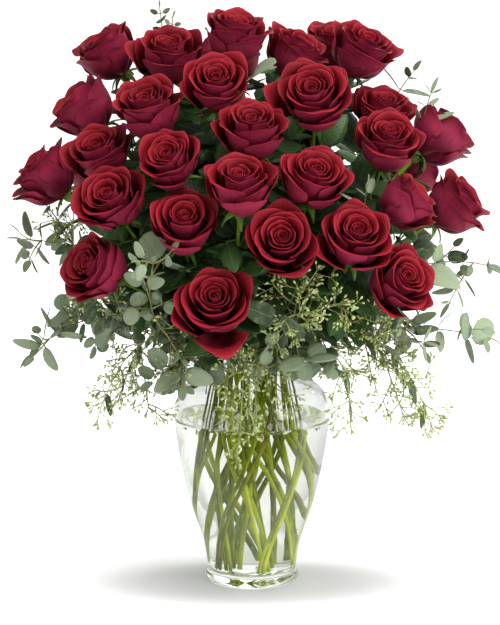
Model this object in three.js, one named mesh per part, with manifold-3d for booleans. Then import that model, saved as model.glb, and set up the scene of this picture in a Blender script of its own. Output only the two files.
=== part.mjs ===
// Three dozen red roses with eucalyptus in a clear glass vase.
// Millimetres, +Z up, the front of the bouquet faces -Y.
// The origin is the middle of the vase's flat underside.
import * as THREE from "three";
import { mergeVertices } from "three/addons/utils/BufferGeometryUtils.js";
import Module from "manifold-3d";

const wasm = await Module();
wasm.setup();

// ---- Driving dimensions -------------------------------------------------

const VASE_WALL = 3;
const VASE_FLOOR = 12;
const VASE_SIDES = 22;
const FOOT_RADIUS = 49.5;
// Radius and height of the vase's outer skin, from above the foot to the lip.
const VASE_SKIN = [
  [46.8, 13],
  [52.3, 45],
  [67, 90],
  [78, 142],
  [82, 179],
  [78, 201],
  [67, 212],
  [54, 218],
  [47, 229],
  [51.5, 246],
];
const SKIN_STEPS = 10;
const WATER_LEVEL = 178;
const GAP = 0.3;

const STEM_RADIUS = 3;
const STEM_SIDES = 4;
const STEM_STEPS = 4;
const NECK_HEIGHT = 228;
// How the rose stems stand in the neck, from the middle out: how many, how far out at
// the neck and at the foot, how far round they lean on the way down, and whether every
// other one leans the other way, so that neighbours cross and rest on each other.
const NECK_RINGS = [
  { count: 8, radius: 11, endRadius: 15.7, twist: 103, crossed: true },
  { count: 12, radius: 22.4, endRadius: 29.8, twist: 119, crossed: false },
  { count: 16, radius: 33, endRadius: 33, twist: -89, crossed: false },
];
const STEM_FOOT = 17;
// Every third stem of the outer ring is cut short, leans the other way and ends near
// the wall, at one of these radii and heights.
const SHORT_TWIST = 69;
const SHORT_ENDS = [
  [61, 103],
  [53, 76],
  [64, 123],
];

const BLOOM_MIDDLE = 30;
const BLOOM_SPACING = 75;
// Half width, half depth and half height of the dome that the blooms sit on, and its middle.
const DOME = new THREE.Vector3(215, 165, 235);
const DOME_MIDDLE = 335;

// Rose leaves: how far up the stem they grow, their length, and the room they need
// from the middle of the nearest bloom.
const LEAF_PLACE = 0.86;
const LEAF_LENGTH = 50;
const LEAF_ROOM = 43;
const LEAF_THICKNESS = 0.9;

// A twig of eucalyptus stands between the outer rose stems and leans on the lip.
const TWIG_RADIUS = 1.6;
const TWIG_SIDES = 3;
const TWIG_STEPS = 6;
const TWIG_FOOT = { radius: 57, height: 150 };
const TWIG_NECK = { radius: 40.3, height: 225 };
const TWIG_LIP = { radius: 46.5, height: 250.5 };
const LEAFY_FROM = 68;
const SEEDED_FROM = 80;
const CLUSTER_STALK = 21;
const SEEDS_IN_CLUSTER = 4;
const SEED_LENGTH = 9;
const SEED_RADIUS = 1.8;

// Where each bloom's middle is: across, height, depth (null is on the dome's front,
// "back" on its back), then the way it faces: degrees round from the front towards
// the right, and degrees up from level; then its size.
const BLOOMS = [
  [-149, 556, 40, -70, 55, 0.91],
  [-86, 553, 0, 5, 62, 0.93],
  [-15, 573, 0, 30, 70, 0.93],
  [41, 556, 15, 60, 55, 0.88],
  [87, 560, 78, 20, 72, 0.91],
  [116, 549, 5, 45, 58, 0.93],
  [-173, 499, 10, -80, 45, 0.93],
  [-105, 501, null, -22, 58, 0.95],
  [-33, 524, null, 0, 48, 0.88],
  [59, 516, null, -6, 45, 0.99],
  [130, 506, 0, 30, 62, 0.86],
  [195, 469, 35, 108, 40, 0.96],
  [-5, 482, null, 0, 60, 0.9],
  [-212, 432, 0, -76, 45, 0.95],
  [-148, 458, null, -28, 55, 0.85],
  [-79, 457, null, -22, 42, 0.83],
  [-16, 439, null, 0, 63, 0.9],
  [59, 438, null, 18, 52, 0.9],
  [135, 466, null, 15, 55, 0.9],
  [-137, 419, null, -25, 42, 0.92],
  [149, 420, null, 80, 38, 0.85],
  [210, 400, 10, 76, 38, 0.95],
  [-59, 404, null, 0, 48, 0.9],
  [28, 385, null, 0, 33, 0.92],
  [101, 383, null, 10, 45, 0.95],
  [-151, 353, null, -50, 28, 0.9],
  [-36, 324, null, 0, 38, 0.97],
  [141, 342, null, 35, 30, 0.9],
  [-165, 425, "back", -130, 35, 0.96],
  [-98, 372, "back", -158, 32, 0.96],
  [2, 352, "back", 180, 30, 0.96],
  [100, 374, "back", 158, 32, 0.96],
  [162, 428, "back", 132, 35, 0.96],
  [-78, 478, "back", -155, 46, 0.96],
  [-28, 540, "back", -170, 60, 0.96],
  [70, 478, "back", 158, 46, 0.96],
];

// ---- Helpers ------------------------------------------------------------

const rad = THREE.MathUtils.degToRad;
const UP = new THREE.Vector3(0, 0, 1);

// The unit vector that faces round degrees from the front and lift degrees up.
function facing(round, lift) {
  const level = Math.cos(rad(lift));
  return new THREE.Vector3(
    Math.sin(rad(round)) * level,
    -Math.cos(rad(round)) * level,
    Math.sin(rad(lift)),
  );
}

// A point at a radius and height, round degrees from the front.
function around(round, radius, height) {
  return facing(round, 0).multiplyScalar(radius).setZ(height);
}

function weld(geometry) {
  geometry.deleteAttribute("normal");
  geometry.deleteAttribute("uv");
  return mergeVertices(geometry, 1e-3);
}

function solidOf(geometry) {
  const welded = weld(geometry);
  return new wasm.Manifold(
    new wasm.Mesh({
      numProp: 3,
      vertProperties: new Float32Array(welded.attributes.position.array),
      triVerts: new Uint32Array(welded.index.array),
    }),
  );
}

function geometryOf(solid) {
  const { vertProperties, triVerts } = solid.getMesh();
  return new THREE.BufferGeometry()
    .setAttribute("position", new THREE.BufferAttribute(vertProperties, 3))
    .setIndex(new THREE.BufferAttribute(triVerts, 1));
}

function joined(solids) {
  return wasm.Manifold.union(solids);
}

const bouquet = new THREE.Group();

function addMesh(name, geometry, material) {
  const mesh = new THREE.Mesh(geometry, material);
  mesh.name = name;
  bouquet.add(mesh);
  return mesh;
}

// A rod of a few flat sides along a curve.
function rod(curve, radius, sides, steps) {
  const corners = Array.from({ length: sides }, (_, i) => {
    const angle = (2 * Math.PI * i) / sides;
    return new THREE.Vector2(Math.cos(angle), Math.sin(angle)).multiplyScalar(radius);
  });
  const section = new THREE.Shape(corners);
  return new THREE.ExtrudeGeometry(section, { steps, extrudePath: curve });
}

// A route that runs straight between its knots, one step each, and then along a bend.
class Route extends THREE.Curve {
  constructor(knots, bend, steps) {
    super();
    Object.assign(this, { knots, bend, steps });
  }
  getPoint(t, target = new THREE.Vector3()) {
    const straight = this.knots.length - 1;
    const step = t * this.steps;
    if (step >= straight) {
      return this.bend.getPoint((step - straight) / (this.steps - straight), target);
    }
    const from = Math.floor(step);
    return target.lerpVectors(this.knots[from], this.knots[from + 1], step - from);
  }
  getPointAt(u, target) {
    return this.getPoint(u, target);
  }
  getTangentAt(u, target) {
    return this.getTangent(u, target);
  }
}

// A place on such a rod's middle line and the way it runs there.
function onRod(curve, steps, t) {
  const step = Math.min(steps - 1, Math.floor(t * steps));
  const from = curve.getPointAt(step / steps);
  const to = curve.getPointAt((step + 1) / steps);
  const way = to.clone().sub(from).normalize();
  return { point: from.lerp(to, t * steps - step), way };
}

// ---- Materials ----------------------------------------------------------

const glass = new THREE.MeshStandardMaterial({
  color: 0xeef3f2,
  roughness: 0.02,
  metalness: 0,
  transparent: true,
  opacity: 0.3,
});
const waterLook = new THREE.MeshStandardMaterial({
  color: 0xe4efee,
  roughness: 0,
  metalness: 0,
  transparent: true,
  opacity: 0.35,
});
const petalRed = new THREE.MeshStandardMaterial({
  color: 0x9e1228,
  roughness: 0.6,
  metalness: 0,
});
const stemGreen = new THREE.MeshStandardMaterial({
  color: 0x6f8f2f,
  roughness: 0.5,
  metalness: 0,
});
const eucalyptusGreen = new THREE.MeshStandardMaterial({
  color: 0x7d9a80,
  roughness: 0.6,
  metalness: 0,
});
const seedGreen = new THREE.MeshStandardMaterial({
  color: 0xa9b45a,
  roughness: 0.55,
  metalness: 0,
});

// ---- Vase and water -----------------------------------------------------

// The outer skin moved inwards by a thickness, as radius and height points.
function vaseSkin(inset) {
  const skin = new THREE.SplineCurve(VASE_SKIN.map((p) => new THREE.Vector2(...p)));
  return Array.from({ length: SKIN_STEPS + 1 }, (_, i) => {
    const t = i / SKIN_STEPS;
    const tangent = skin.getTangent(t);
    return skin
      .getPoint(t)
      .add(new THREE.Vector2(-tangent.y, tangent.x).multiplyScalar(inset));
  });
}

function turned(profile) {
  return new THREE.LatheGeometry(profile, VASE_SIDES).rotateX(Math.PI / 2);
}

function buildVase() {
  const outside = vaseSkin(0);
  const inside = vaseSkin(VASE_WALL).filter((p) => p.y > VASE_FLOOR + 4);
  const profile = [
    new THREE.Vector2(0, 0),
    new THREE.Vector2(FOOT_RADIUS - 2, 0),
    new THREE.Vector2(FOOT_RADIUS, 3),
    new THREE.Vector2(FOOT_RADIUS, 9),
    ...outside,
    ...inside.reverse(),
    new THREE.Vector2(40, VASE_FLOOR),
    new THREE.Vector2(0, VASE_FLOOR),
  ];
  addMesh("glass_vase", turned(profile), glass);
}

// The water's outside, before the stems' holes.
function waterBody() {
  const side = vaseSkin(VASE_WALL + GAP).filter(
    (p) => p.y > VASE_FLOOR + 4 && p.y < WATER_LEVEL,
  );
  const top = side[side.length - 1];
  const profile = [
    new THREE.Vector2(0, VASE_FLOOR + GAP),
    new THREE.Vector2(39.5, VASE_FLOOR + GAP),
    ...side,
    new THREE.Vector2(top.x, WATER_LEVEL),
    new THREE.Vector2(0, WATER_LEVEL),
  ];
  return solidOf(turned(profile));
}

// ---- Blooms -------------------------------------------------------------

// Each bloom starts on the dome; blooms that are too close press each other apart,
// mostly in depth, as they do when a bouquet is filled.
function placeBlooms() {
  const blooms = BLOOMS.map(([across, height, depth, round, lift, size]) => {
    const share = 1 - (across / DOME.x) ** 2 - ((height - DOME_MIDDLE) / DOME.z) ** 2;
    const domeDepth = DOME.y * Math.sqrt(Math.max(0, share));
    const y = depth === null ? -domeDepth : depth === "back" ? domeDepth : depth;
    return {
      middle: new THREE.Vector3(across, y, height),
      face: facing(round, lift),
      size,
    };
  });
  const give = new THREE.Vector3(0.25, 1, 0.25);
  for (let pass = 0; pass < 60; pass++) {
    for (let i = 0; i < blooms.length; i++) {
      for (let j = i + 1; j < blooms.length; j++) {
        const a = blooms[i].middle;
        const b = blooms[j].middle;
        const apart = b.clone().sub(a);
        const wanted = (BLOOM_SPACING * (blooms[i].size + blooms[j].size)) / 2;
        const lack = wanted - apart.length();
        if (lack <= 0) continue;
        const push = apart
          .normalize()
          .multiply(give)
          .multiplyScalar(lack / 2);
        a.sub(push);
        b.add(push);
      }
    }
  }
  for (const bloom of blooms) {
    bloom.hip = bloom.middle
      .clone()
      .addScaledVector(bloom.face, -BLOOM_MIDDLE * bloom.size);
  }
  return blooms;
}

// The bloom's outline from its base to its middle, turned round and then lobed:
// radius, height, how far its petals lobe outwards and upwards.
const BLOOM_SIDES = 10;
const PETAL_COLUMNS = 2;
const BLOOM_OUTLINE = [
  { r: 0, z: 0, lobe: 0, rise: 0, shift: 0 },
  { r: 6.5, z: 0, lobe: 0, rise: 0, shift: 0 },
  { r: 29, z: 20, lobe: 0.5, rise: 0, shift: 0 },
  { r: 37, z: 47, lobe: 1.2, rise: -1.4, shift: 0 },
  { r: 26, z: 37, lobe: 0.4, rise: 0, shift: 0 },
  { r: 28, z: 53, lobe: 1, rise: 1, shift: 1 },
  { r: 17, z: 42, lobe: 0.4, rise: 0, shift: 1 },
  { r: 16, z: 58, lobe: 0.9, rise: 1, shift: 0 },
  { r: 0, z: 47, lobe: 0, rise: 0, shift: 0 },
];
// At the notch between two petals, and at a petal's middle.
const LOBE_OUT = [-2.6, 2.2];
const LOBE_UP = [-2.2, 1.6];

function bloomGeometry(size) {
  const profile = BLOOM_OUTLINE.map((p) => new THREE.Vector2(p.r, p.z));
  const geometry = new THREE.LatheGeometry(profile, BLOOM_SIDES);
  const position = geometry.attributes.position;
  for (let i = 0; i < position.count; i++) {
    const column = Math.floor(i / profile.length) % BLOOM_SIDES;
    const ring = BLOOM_OUTLINE[i % profile.length];
    const part = (column + ring.shift) % PETAL_COLUMNS;
    const radius = ring.r + LOBE_OUT[part] * ring.lobe;
    const grow = ring.r ? radius / ring.r : 1;
    position.setXYZ(
      i,
      position.getX(i) * grow,
      ring.z + LOBE_UP[part] * ring.rise,
      position.getZ(i) * grow,
    );
  }
  return weld(geometry).scale(size, size, size);
}

function buildBlooms(blooms) {
  blooms.forEach((bloom, i) => {
    const name = "rose_bloom_" + String(i + 1).padStart(2, "0");
    const mesh = addMesh(name, bloomGeometry(bloom.size), petalRed);
    mesh.position.copy(bloom.hip);
    mesh.quaternion.setFromUnitVectors(new THREE.Vector3(0, 1, 0), bloom.face);
    mesh.rotateY(i * rad(137.5));
  });
}

// ---- Rose stems ---------------------------------------------------------

// Gives each bloom its place in the neck: the highest blooms stand in the middle ring,
// the lowest outside, and round each ring they keep the order of their blooms.
function placeStems(blooms) {
  const roundOf = (v) => THREE.MathUtils.radToDeg(Math.atan2(v.x, -v.y));
  const spread = (b) => Math.hypot(b.hip.x, b.hip.y) / (b.hip.z - NECK_HEIGHT + 60);
  const order = [...blooms].sort((a, b) => spread(a) - spread(b));
  let taken = 0;
  for (const ring of NECK_RINGS) {
    const members = order
      .slice(taken, taken + ring.count)
      .sort((a, b) => roundOf(a.hip) - roundOf(b.hip));
    taken += ring.count;
    const step = 360 / ring.count;
    // The turn of the whole ring that suits its blooms best.
    const turns = members.map((b, i) => roundOf(b.hip) - (i * step - 180));
    const turn = turns.reduce((sum, t) => sum + t, 0) / turns.length;
    members.forEach((bloom, i) => {
      const round = turn + i * step - 180;
      const short = ring === NECK_RINGS[2] && i % 3 === 1;
      const way = ring.crossed && i % 2 ? -1 : 1;
      const foot = short
        ? around(round + SHORT_TWIST, ...SHORT_ENDS[((i - 1) / 3) % 3])
        : around(round + way * ring.twist, ring.endRadius, STEM_FOOT);
      const neck = around(round, ring.radius, NECK_HEIGHT);
      const lean = neck.clone().sub(foot).normalize();
      const top = bloom.hip.clone().addScaledVector(bloom.face, -5);
      const reach = neck.distanceTo(top);
      const bend = new THREE.CubicBezierCurve3(
        neck,
        neck.clone().addScaledVector(lean, Math.max(68, reach * 0.17)),
        top.clone().addScaledVector(bloom.face, -reach * 0.3),
        top,
      );
      bloom.route = new Route([foot, neck], bend, STEM_STEPS);
    });
  }
}

// Five pointed sepals round a tapered hip, under the bloom.
function calyx(bloom, turn) {
  const geometry = new THREE.SphereGeometry(1, 5, 2);
  const position = geometry.attributes.position;
  const v = new THREE.Vector3();
  for (let i = 0; i < position.count; i++) {
    v.fromBufferAttribute(position, i);
    const height = v.y > 0.5 ? -GAP : v.y < -0.5 ? -12 : -7;
    const radius = Math.abs(v.y) > 0.5 ? 0 : 16;
    position.setXYZ(i, v.x * radius, height, v.z * radius);
  }
  const turned = new THREE.Quaternion()
    .setFromUnitVectors(new THREE.Vector3(0, 1, 0), bloom.face)
    .multiply(
      new THREE.Quaternion().setFromAxisAngle(new THREE.Vector3(0, 1, 0), rad(turn)),
    );
  geometry.applyQuaternion(turned);
  geometry.translate(...bloom.hip);
  return solidOf(geometry);
}

// A leaf: a thin blade, thickest along its middle, that bends down towards its tip.
// A serrated one has every other point of its edge drawn in.
function leafBlade(base, along, outward, length, width, points, cut) {
  const geometry = new THREE.SphereGeometry(1, points, 2);
  const position = geometry.attributes.position;
  const across = along.clone().cross(outward).normalize();
  const normal = across.clone().cross(along);
  const v = new THREE.Vector3();
  for (let i = 0; i < position.count; i++) {
    v.fromBufferAttribute(position, i);
    const turn = Math.atan2(v.z, v.x) / (2 * Math.PI);
    const point = Math.round(turn * points + points);
    const drawn = Math.abs(v.y) < 0.5 && point % 2 && Math.abs(v.z) > 0.2 ? cut : 1;
    const reach = (1 + v.x) / 2;
    const place = base
      .clone()
      .addScaledVector(along, reach * length)
      .addScaledVector(across, (v.z * drawn * width) / 2)
      .addScaledVector(normal, v.y * LEAF_THICKNESS - reach * reach * length * 0.1);
    position.setXYZ(i, place.x, place.y, place.z);
  }
  return solidOf(geometry);
}

// A rose leaf is a long serrated leaflet with a shorter one on each side.
function roseLeaf({ start, tip, outward }) {
  const along = tip.clone().sub(start).normalize();
  const across = along.clone().cross(outward).normalize();
  const leaflet = (side, length) => {
    const way = along.clone().addScaledVector(across, side).normalize();
    return leafBlade(start, way, outward, length, length * 0.5, 8, 0.72);
  };
  return [
    leaflet(0, LEAF_LENGTH),
    leaflet(1.1, LEAF_LENGTH * 0.7),
    leaflet(-1.1, LEAF_LENGTH * 0.7),
  ];
}

// Each rose leaf grows from its stem below the bloom, towards the side that has the
// most room among the blooms.
function placeRoseLeaves(blooms) {
  const leaves = [];
  for (const bloom of blooms.filter((_, i) => i % 3 === 0 && i < 33)) {
    const { point: start, way: stem } = onRod(bloom.route, STEM_STEPS, LEAF_PLACE);
    const side = stem.clone().cross(UP).normalize();
    const middle = new THREE.Vector3(0, 0, DOME_MIDDLE);
    const outward = start.clone().sub(middle).normalize();
    let best = null;
    for (let turn = 0; turn < 360; turn += 15) {
      const way = side.clone().applyAxisAngle(stem, rad(turn));
      way.addScaledVector(stem, 0.7).normalize();
      const tip = start.clone().addScaledVector(way, LEAF_LENGTH);
      const room = Math.min(
        ...blooms.map((b) => {
          const near = (p) => p.distanceTo(b.middle) / b.size;
          return Math.min(near(tip), near(start.clone().lerp(tip, 0.6)));
        }),
      );
      if (!best || room > best.room) {
        best = { start, tip, outward, room };
      }
    }
    if (best.room > LEAF_ROOM) leaves.push(best);
  }
  return leaves;
}

function buildStems(blooms) {
  const parts = blooms.map((b) =>
    solidOf(rod(b.route, STEM_RADIUS, STEM_SIDES, STEM_STEPS)),
  );
  const hips = blooms.map((b, i) => calyx(b, i * 137.5));
  const leaves = placeRoseLeaves(blooms).flatMap(roseLeaf);
  const solid = joined([...parts, ...hips, ...leaves]);
  addMesh("rose_stems", geometryOf(solid), stemGreen);
}

// ---- Eucalyptus ---------------------------------------------------------

// Each spray: its kind, how far round the neck it stands, the point it arches over,
// its tip, and how many leaves or seed clusters it carries.
const SPRAYS = [
  ["eucalyptus_left_low", "leafy", -93, [-146, -18, 288], [-232, -20, 246], 7],
  ["eucalyptus_left", "leafy", -99, [-138, 28, 332], [-240, 0, 366], 7],
  ["eucalyptus_left_near", "leafy", -34, [-66, -84, 250], [-80, -104, 216], 5],
  ["eucalyptus_right_near", "leafy", 26, [37, -92, 254], [60, -115, 218], 5],
  ["eucalyptus_right", "leafy", 99, [150, 20, 326], [248, 0, 338], 7],
  ["eucalyptus_right_low", "leafy", 88, [150, -24, 276], [252, -12, 262], 7],
  ["eucalyptus_front_left", "leafy", -59, [-92, -98, 290], [-94, -172, 366], 5],
  ["seeded_left", "seeded", -67, [-106, -58, 270], [-152, -66, 206], 4],
  ["seeded_front", "seeded", -4, [-7, -86, 256], [-12, -110, 180], 4],
  ["seeded_front_right", "seeded", 5, [34, -106, 288], [48, -158, 322], 4],
  ["seeded_right_near", "seeded", 58, [84, -76, 257], [98, -98, 203], 4],
  ["seeded_right", "seeded", 65, [126, -62, 268], [184, -62, 182], 4],
  ["eucalyptus_back_left", "leafy", -125, [-112, 92, 286], [-168, 138, 250], 7],
  ["eucalyptus_back", "leafy", -172, [-30, 114, 268], [-32, 180, 238], 6],
  ["eucalyptus_back_right", "leafy", 123, [112, 88, 288], [168, 136, 254], 7],
  ["seeded_back_left", "seeded", -160, [-60, 90, 260], [-84, 132, 205], 4],
  ["seeded_back_right", "seeded", 146, [52, 94, 262], [78, 136, 208], 4],
];

function twigRoute(round, over, tip) {
  const knots = [TWIG_FOOT, TWIG_NECK, TWIG_LIP].map(({ radius, height }) =>
    around(round, radius, height),
  );
  const lip = knots[2];
  const end = new THREE.Vector3(...tip);
  const pull = new THREE.Vector3(...over).multiplyScalar(2);
  pull.addScaledVector(lip, -0.5).addScaledVector(end, -0.5);
  const bend = new THREE.QuadraticBezierCurve3(lip, pull, end);
  return new Route(knots, bend, TWIG_STEPS);
}

function twigSolid(route) {
  return solidOf(rod(route, TWIG_RADIUS, TWIG_SIDES, TWIG_STEPS));
}

// How far along the twig it is clear of the lip, at a radius from the vase's middle.
function pastLip(route, radius) {
  let t = 0.3;
  const outside = () => {
    const { point } = onRod(route, TWIG_STEPS, t);
    return point.z > TWIG_NECK.height && Math.hypot(point.x, point.y) > radius;
  };
  while (!outside()) t += 0.01;
  return t;
}

// Which way the leaves look at a place on the bouquet: outwards and a little up.
function outwardAt(point) {
  return point.clone().setZ(0).normalize().addScaledVector(UP, 0.5).normalize();
}

// Round leaves in turn on both sides of the twig, smaller towards its tip.
function twigLeaves(route, count, from, length) {
  return Array.from({ length: count }, (_, k) => {
    const share = k / (count - 1);
    const t = from + (0.985 - from) * share;
    const { point: base, way: twig } = onRod(route, TWIG_STEPS, t);
    const outward = outwardAt(base);
    const side = twig.clone().cross(outward).normalize();
    side.multiplyScalar(k % 2 ? 1 : -1).addScaledVector(outward, 0.35 * Math.sin(2 * k));
    const along = side.addScaledVector(twig, k === count - 1 ? 5 : 0.6).normalize();
    const size = length * (1 - 0.4 * share);
    return leafBlade(base, along, outward, size, size * (0.9 - 0.2 * share), 7, 1);
  });
}

// A seed on its stalk: a three-sided club.
function seedClub(base, along) {
  const geometry = new THREE.SphereGeometry(1, 3, 2);
  const position = geometry.attributes.position;
  const turn = new THREE.Quaternion().setFromUnitVectors(
    new THREE.Vector3(0, 1, 0),
    along,
  );
  const v = new THREE.Vector3();
  for (let i = 0; i < position.count; i++) {
    v.fromBufferAttribute(position, i);
    const reach = v.y < -0.5 ? 0 : v.y > 0.5 ? 1 : 0.72;
    v.set(v.x * SEED_RADIUS, reach * SEED_LENGTH, v.z * SEED_RADIUS);
    v.applyQuaternion(turn);
    position.setXYZ(i, base.x + v.x, base.y + v.y, base.z + v.z);
  }
  return solidOf(geometry);
}

// Clusters of seeds all round the twig, each on a short stalk.
function seedClusters(route, count, from) {
  return Array.from({ length: count }, (_, k) => {
    const t = from + (0.99 - from) * (k / (count - 1));
    const { point: base, way: twig } = onRod(route, TWIG_STEPS, t);
    const side = twig.clone().cross(UP).normalize();
    side.applyAxisAngle(twig, k * rad(137.5));
    const stalk = side.addScaledVector(twig, 0.9).normalize();
    const hub = base.clone().addScaledVector(stalk, CLUSTER_STALK);
    const hinge = twig.clone().cross(stalk).normalize();
    const seeds = Array.from({ length: SEEDS_IN_CLUSTER }, (_, s) => {
      const way = stalk.clone().applyAxisAngle(hinge, rad(35 + 12 * (s % 2)));
      way.applyAxisAngle(stalk, (s * 2 * Math.PI) / SEEDS_IN_CLUSTER);
      return seedClub(hub.clone().addScaledVector(stalk, -1.5 - s), way);
    });
    return [solidOf(rod(new THREE.LineCurve3(base, hub), 0.9, 3, 1)), ...seeds];
  }).flat();
}

// Adds every spray and gives back their routes.
function buildSprays() {
  return SPRAYS.map(([name, kind, round, over, tip, count]) => {
    const route = twigRoute(round, over, tip);
    const leafy = kind === "leafy";
    const from = pastLip(route, leafy ? LEAFY_FROM : SEEDED_FROM);
    const growth = leafy
      ? twigLeaves(route, count, from, 33)
      : seedClusters(route, count, from);
    const solid = joined([twigSolid(route), ...growth]);
    addMesh(name, geometryOf(solid), leafy ? eucalyptusGreen : seedGreen);
    return route;
  });
}

// The water, with a plain hole round each stem and twig that stands in it.
function buildWater(blooms, twigs) {
  const holes = [
    ...blooms.map((b) =>
      solidOf(rod(b.route, STEM_RADIUS + GAP * 1.4, STEM_SIDES, STEM_STEPS)),
    ),
    ...twigs.map((route) =>
      solidOf(rod(route, TWIG_RADIUS + GAP * 2, TWIG_SIDES, TWIG_STEPS)),
    ),
  ];
  addMesh("water", geometryOf(waterBody().subtract(joined(holes))), waterLook);
}

buildVase();
const blooms = placeBlooms();
buildBlooms(blooms);
placeStems(blooms);
buildStems(blooms);
buildWater(blooms, buildSprays());

export default bouquet;
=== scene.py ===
# %% [markdown]
# # Three dozen red roses in a clear glass vase
# This lesson dresses a bouquet whose plain solids already stand in the right places.
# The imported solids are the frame: they say where the vase, the water, each rose head,
# the stems and each spray of eucalyptus are. The script puts a finely modelled piece
# over each of them. The frame is in metres, and the lengths below are in millimetres until
# a piece is finished. +Z is up, the bouquet's front looks towards -Y, and the origin is
# the middle of the vase's underside.

# %% Load the frame
import math
import random

import bmesh
import bpy
from mathutils import Matrix, Quaternion, Vector


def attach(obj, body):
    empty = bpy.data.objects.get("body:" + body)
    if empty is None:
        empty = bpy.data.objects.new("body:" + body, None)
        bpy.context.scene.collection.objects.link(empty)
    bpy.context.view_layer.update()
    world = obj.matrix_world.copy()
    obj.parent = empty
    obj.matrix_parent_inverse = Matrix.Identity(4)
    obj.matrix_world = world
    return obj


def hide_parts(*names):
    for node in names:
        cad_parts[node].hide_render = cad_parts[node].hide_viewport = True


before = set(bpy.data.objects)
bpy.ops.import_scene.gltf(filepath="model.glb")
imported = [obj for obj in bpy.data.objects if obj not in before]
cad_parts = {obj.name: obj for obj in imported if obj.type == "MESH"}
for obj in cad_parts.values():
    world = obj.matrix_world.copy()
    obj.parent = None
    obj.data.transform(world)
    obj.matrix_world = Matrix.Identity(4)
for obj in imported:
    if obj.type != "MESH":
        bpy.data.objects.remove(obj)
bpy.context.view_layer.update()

MM = 0.001
scene = bpy.context.scene
print("solids in the frame:", len(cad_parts))

# %% [markdown]
# ## Where everything stands
# The solids were placed by a few rules: blooms start on an oval dome and press each
# other apart, stems pass through three rings in the vase's neck, and every twig runs
# from the water over the lip. The same rules are repeated here with the same numbers,
# so that a petal or a leaf can be placed on its own stem rather than by eye. Only below the
# neck do the stems leave their solids' straight run, by up to 24 mm: real ones bow, lean
# together and come close to the wall.

# %% Directions, in degrees
UP = Vector((0, 0, 1))


def facing(turn, lift):
    """The unit vector that looks turn degrees round from the front and lift degrees up."""
    level = math.cos(math.radians(lift))
    return Vector((
        math.sin(math.radians(turn)) * level,
        -math.cos(math.radians(turn)) * level,
        math.sin(math.radians(lift)),
    ))


def around(turn, radius, height):
    """A point at a radius and height in millimetres, turn degrees round from the front."""
    point = facing(turn, 0) * radius
    point.z = height
    return point


print("front", facing(0, 0), "right", facing(90, 0))

# %% Where each bloom is and how it looks
# Across, height, depth (None is the dome's front, "back" its back), turn, lift, size.
BLOOMS = [
    (-149, 556, 40, -70, 55, 0.91),
    (-86, 553, 0, 5, 62, 0.93),
    (-15, 573, 0, 30, 70, 0.93),
    (41, 556, 15, 60, 55, 0.88),
    (87, 560, 78, 20, 72, 0.91),
    (116, 549, 5, 45, 58, 0.93),
    (-173, 499, 10, -80, 45, 0.93),
    (-105, 501, None, -22, 58, 0.95),
    (-33, 524, None, 0, 48, 0.88),
    (59, 516, None, -6, 45, 0.99),
    (130, 506, 0, 30, 62, 0.86),
    (195, 469, 35, 108, 40, 0.96),
    (-5, 482, None, 0, 60, 0.9),
    (-212, 432, 0, -76, 45, 0.95),
    (-148, 458, None, -28, 55, 0.85),
    (-79, 457, None, -22, 42, 0.83),
    (-16, 439, None, 0, 63, 0.9),
    (59, 438, None, 18, 52, 0.9),
    (135, 466, None, 15, 55, 0.9),
    (-137, 419, None, -25, 42, 0.92),
    (149, 420, None, 80, 38, 0.85),
    (210, 400, 10, 76, 38, 0.95),
    (-59, 404, None, 0, 48, 0.9),
    (28, 385, None, 0, 33, 0.92),
    (101, 383, None, 10, 45, 0.95),
    (-151, 353, None, -50, 28, 0.9),
    (-36, 324, None, 0, 38, 0.97),
    (141, 342, None, 35, 30, 0.9),
    (-165, 425, "back", -130, 35, 0.96),
    (-98, 372, "back", -158, 32, 0.96),
    (2, 352, "back", 180, 30, 0.96),
    (100, 374, "back", 158, 32, 0.96),
    (162, 428, "back", 132, 35, 0.96),
    (-78, 478, "back", -155, 46, 0.96),
    (-28, 540, "back", -170, 60, 0.96),
    (70, 478, "back", 158, 46, 0.96),
]
# Half the dome's width, depth and height, and how high its middle is.
DOME = Vector((215, 165, 235))
DOME_MIDDLE = 335
# How far apart two heads of full size stay, and a head's middle from its hip.
BLOOM_SPACING = 75
BLOOM_MIDDLE = 30
# How often neighbours press each other apart, and how far they give across, in depth and up.
PRESS_ROUNDS = 60
PRESS_GIVE = (0.25, 1, 0.25)


def place_blooms():
    """Middle, face, hip and size of every bloom after they have pressed each other apart."""
    blooms = []
    for across, height, depth, turn, lift, size in BLOOMS:
        share = 1 - (across / DOME.x) ** 2 - ((height - DOME_MIDDLE) / DOME.z) ** 2
        dome = DOME.y * math.sqrt(max(0, share))
        y = -dome if depth is None else dome if depth == "back" else depth
        middle = Vector((across, y, height))
        blooms.append({"middle": middle, "face": facing(turn, lift), "size": size})
    for _ in range(PRESS_ROUNDS):
        for i, one in enumerate(blooms):
            for other in blooms[i + 1:]:
                apart = other["middle"] - one["middle"]
                lack = BLOOM_SPACING * (one["size"] + other["size"]) / 2 - apart.length
                if lack <= 0:
                    continue
                push = Vector([a * give * lack / 2 for a, give in zip(apart.normalized(), PRESS_GIVE)])
                one["middle"] -= push
                other["middle"] += push
    for bloom in blooms:
        bloom["hip"] = bloom["middle"] - bloom["face"] * BLOOM_MIDDLE * bloom["size"]
    return blooms


blooms = place_blooms()
print("blooms:", len(blooms), "first", [round(v) for v in blooms[0]["middle"]])

# %% How each stem runs
NECK_HEIGHT = 228
# How many stand in the ring, its radius in the neck and at the foot, how far round the
# stems lean on the way down, and whether every other one leans the other way.
NECK_RINGS = [
    (8, 11, 15.7, 103, True),
    (12, 22.4, 29.8, 119, False),
    (16, 33, 33, -89, False),
]
STEM_FOOT = 17
# Every third stem of the outer ring is short: its lean, and its foot's radius and height.
SHORT_TWIST = 69
SHORT_ENDS = [(61, 103), (53, 76), (64, 123)]
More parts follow.
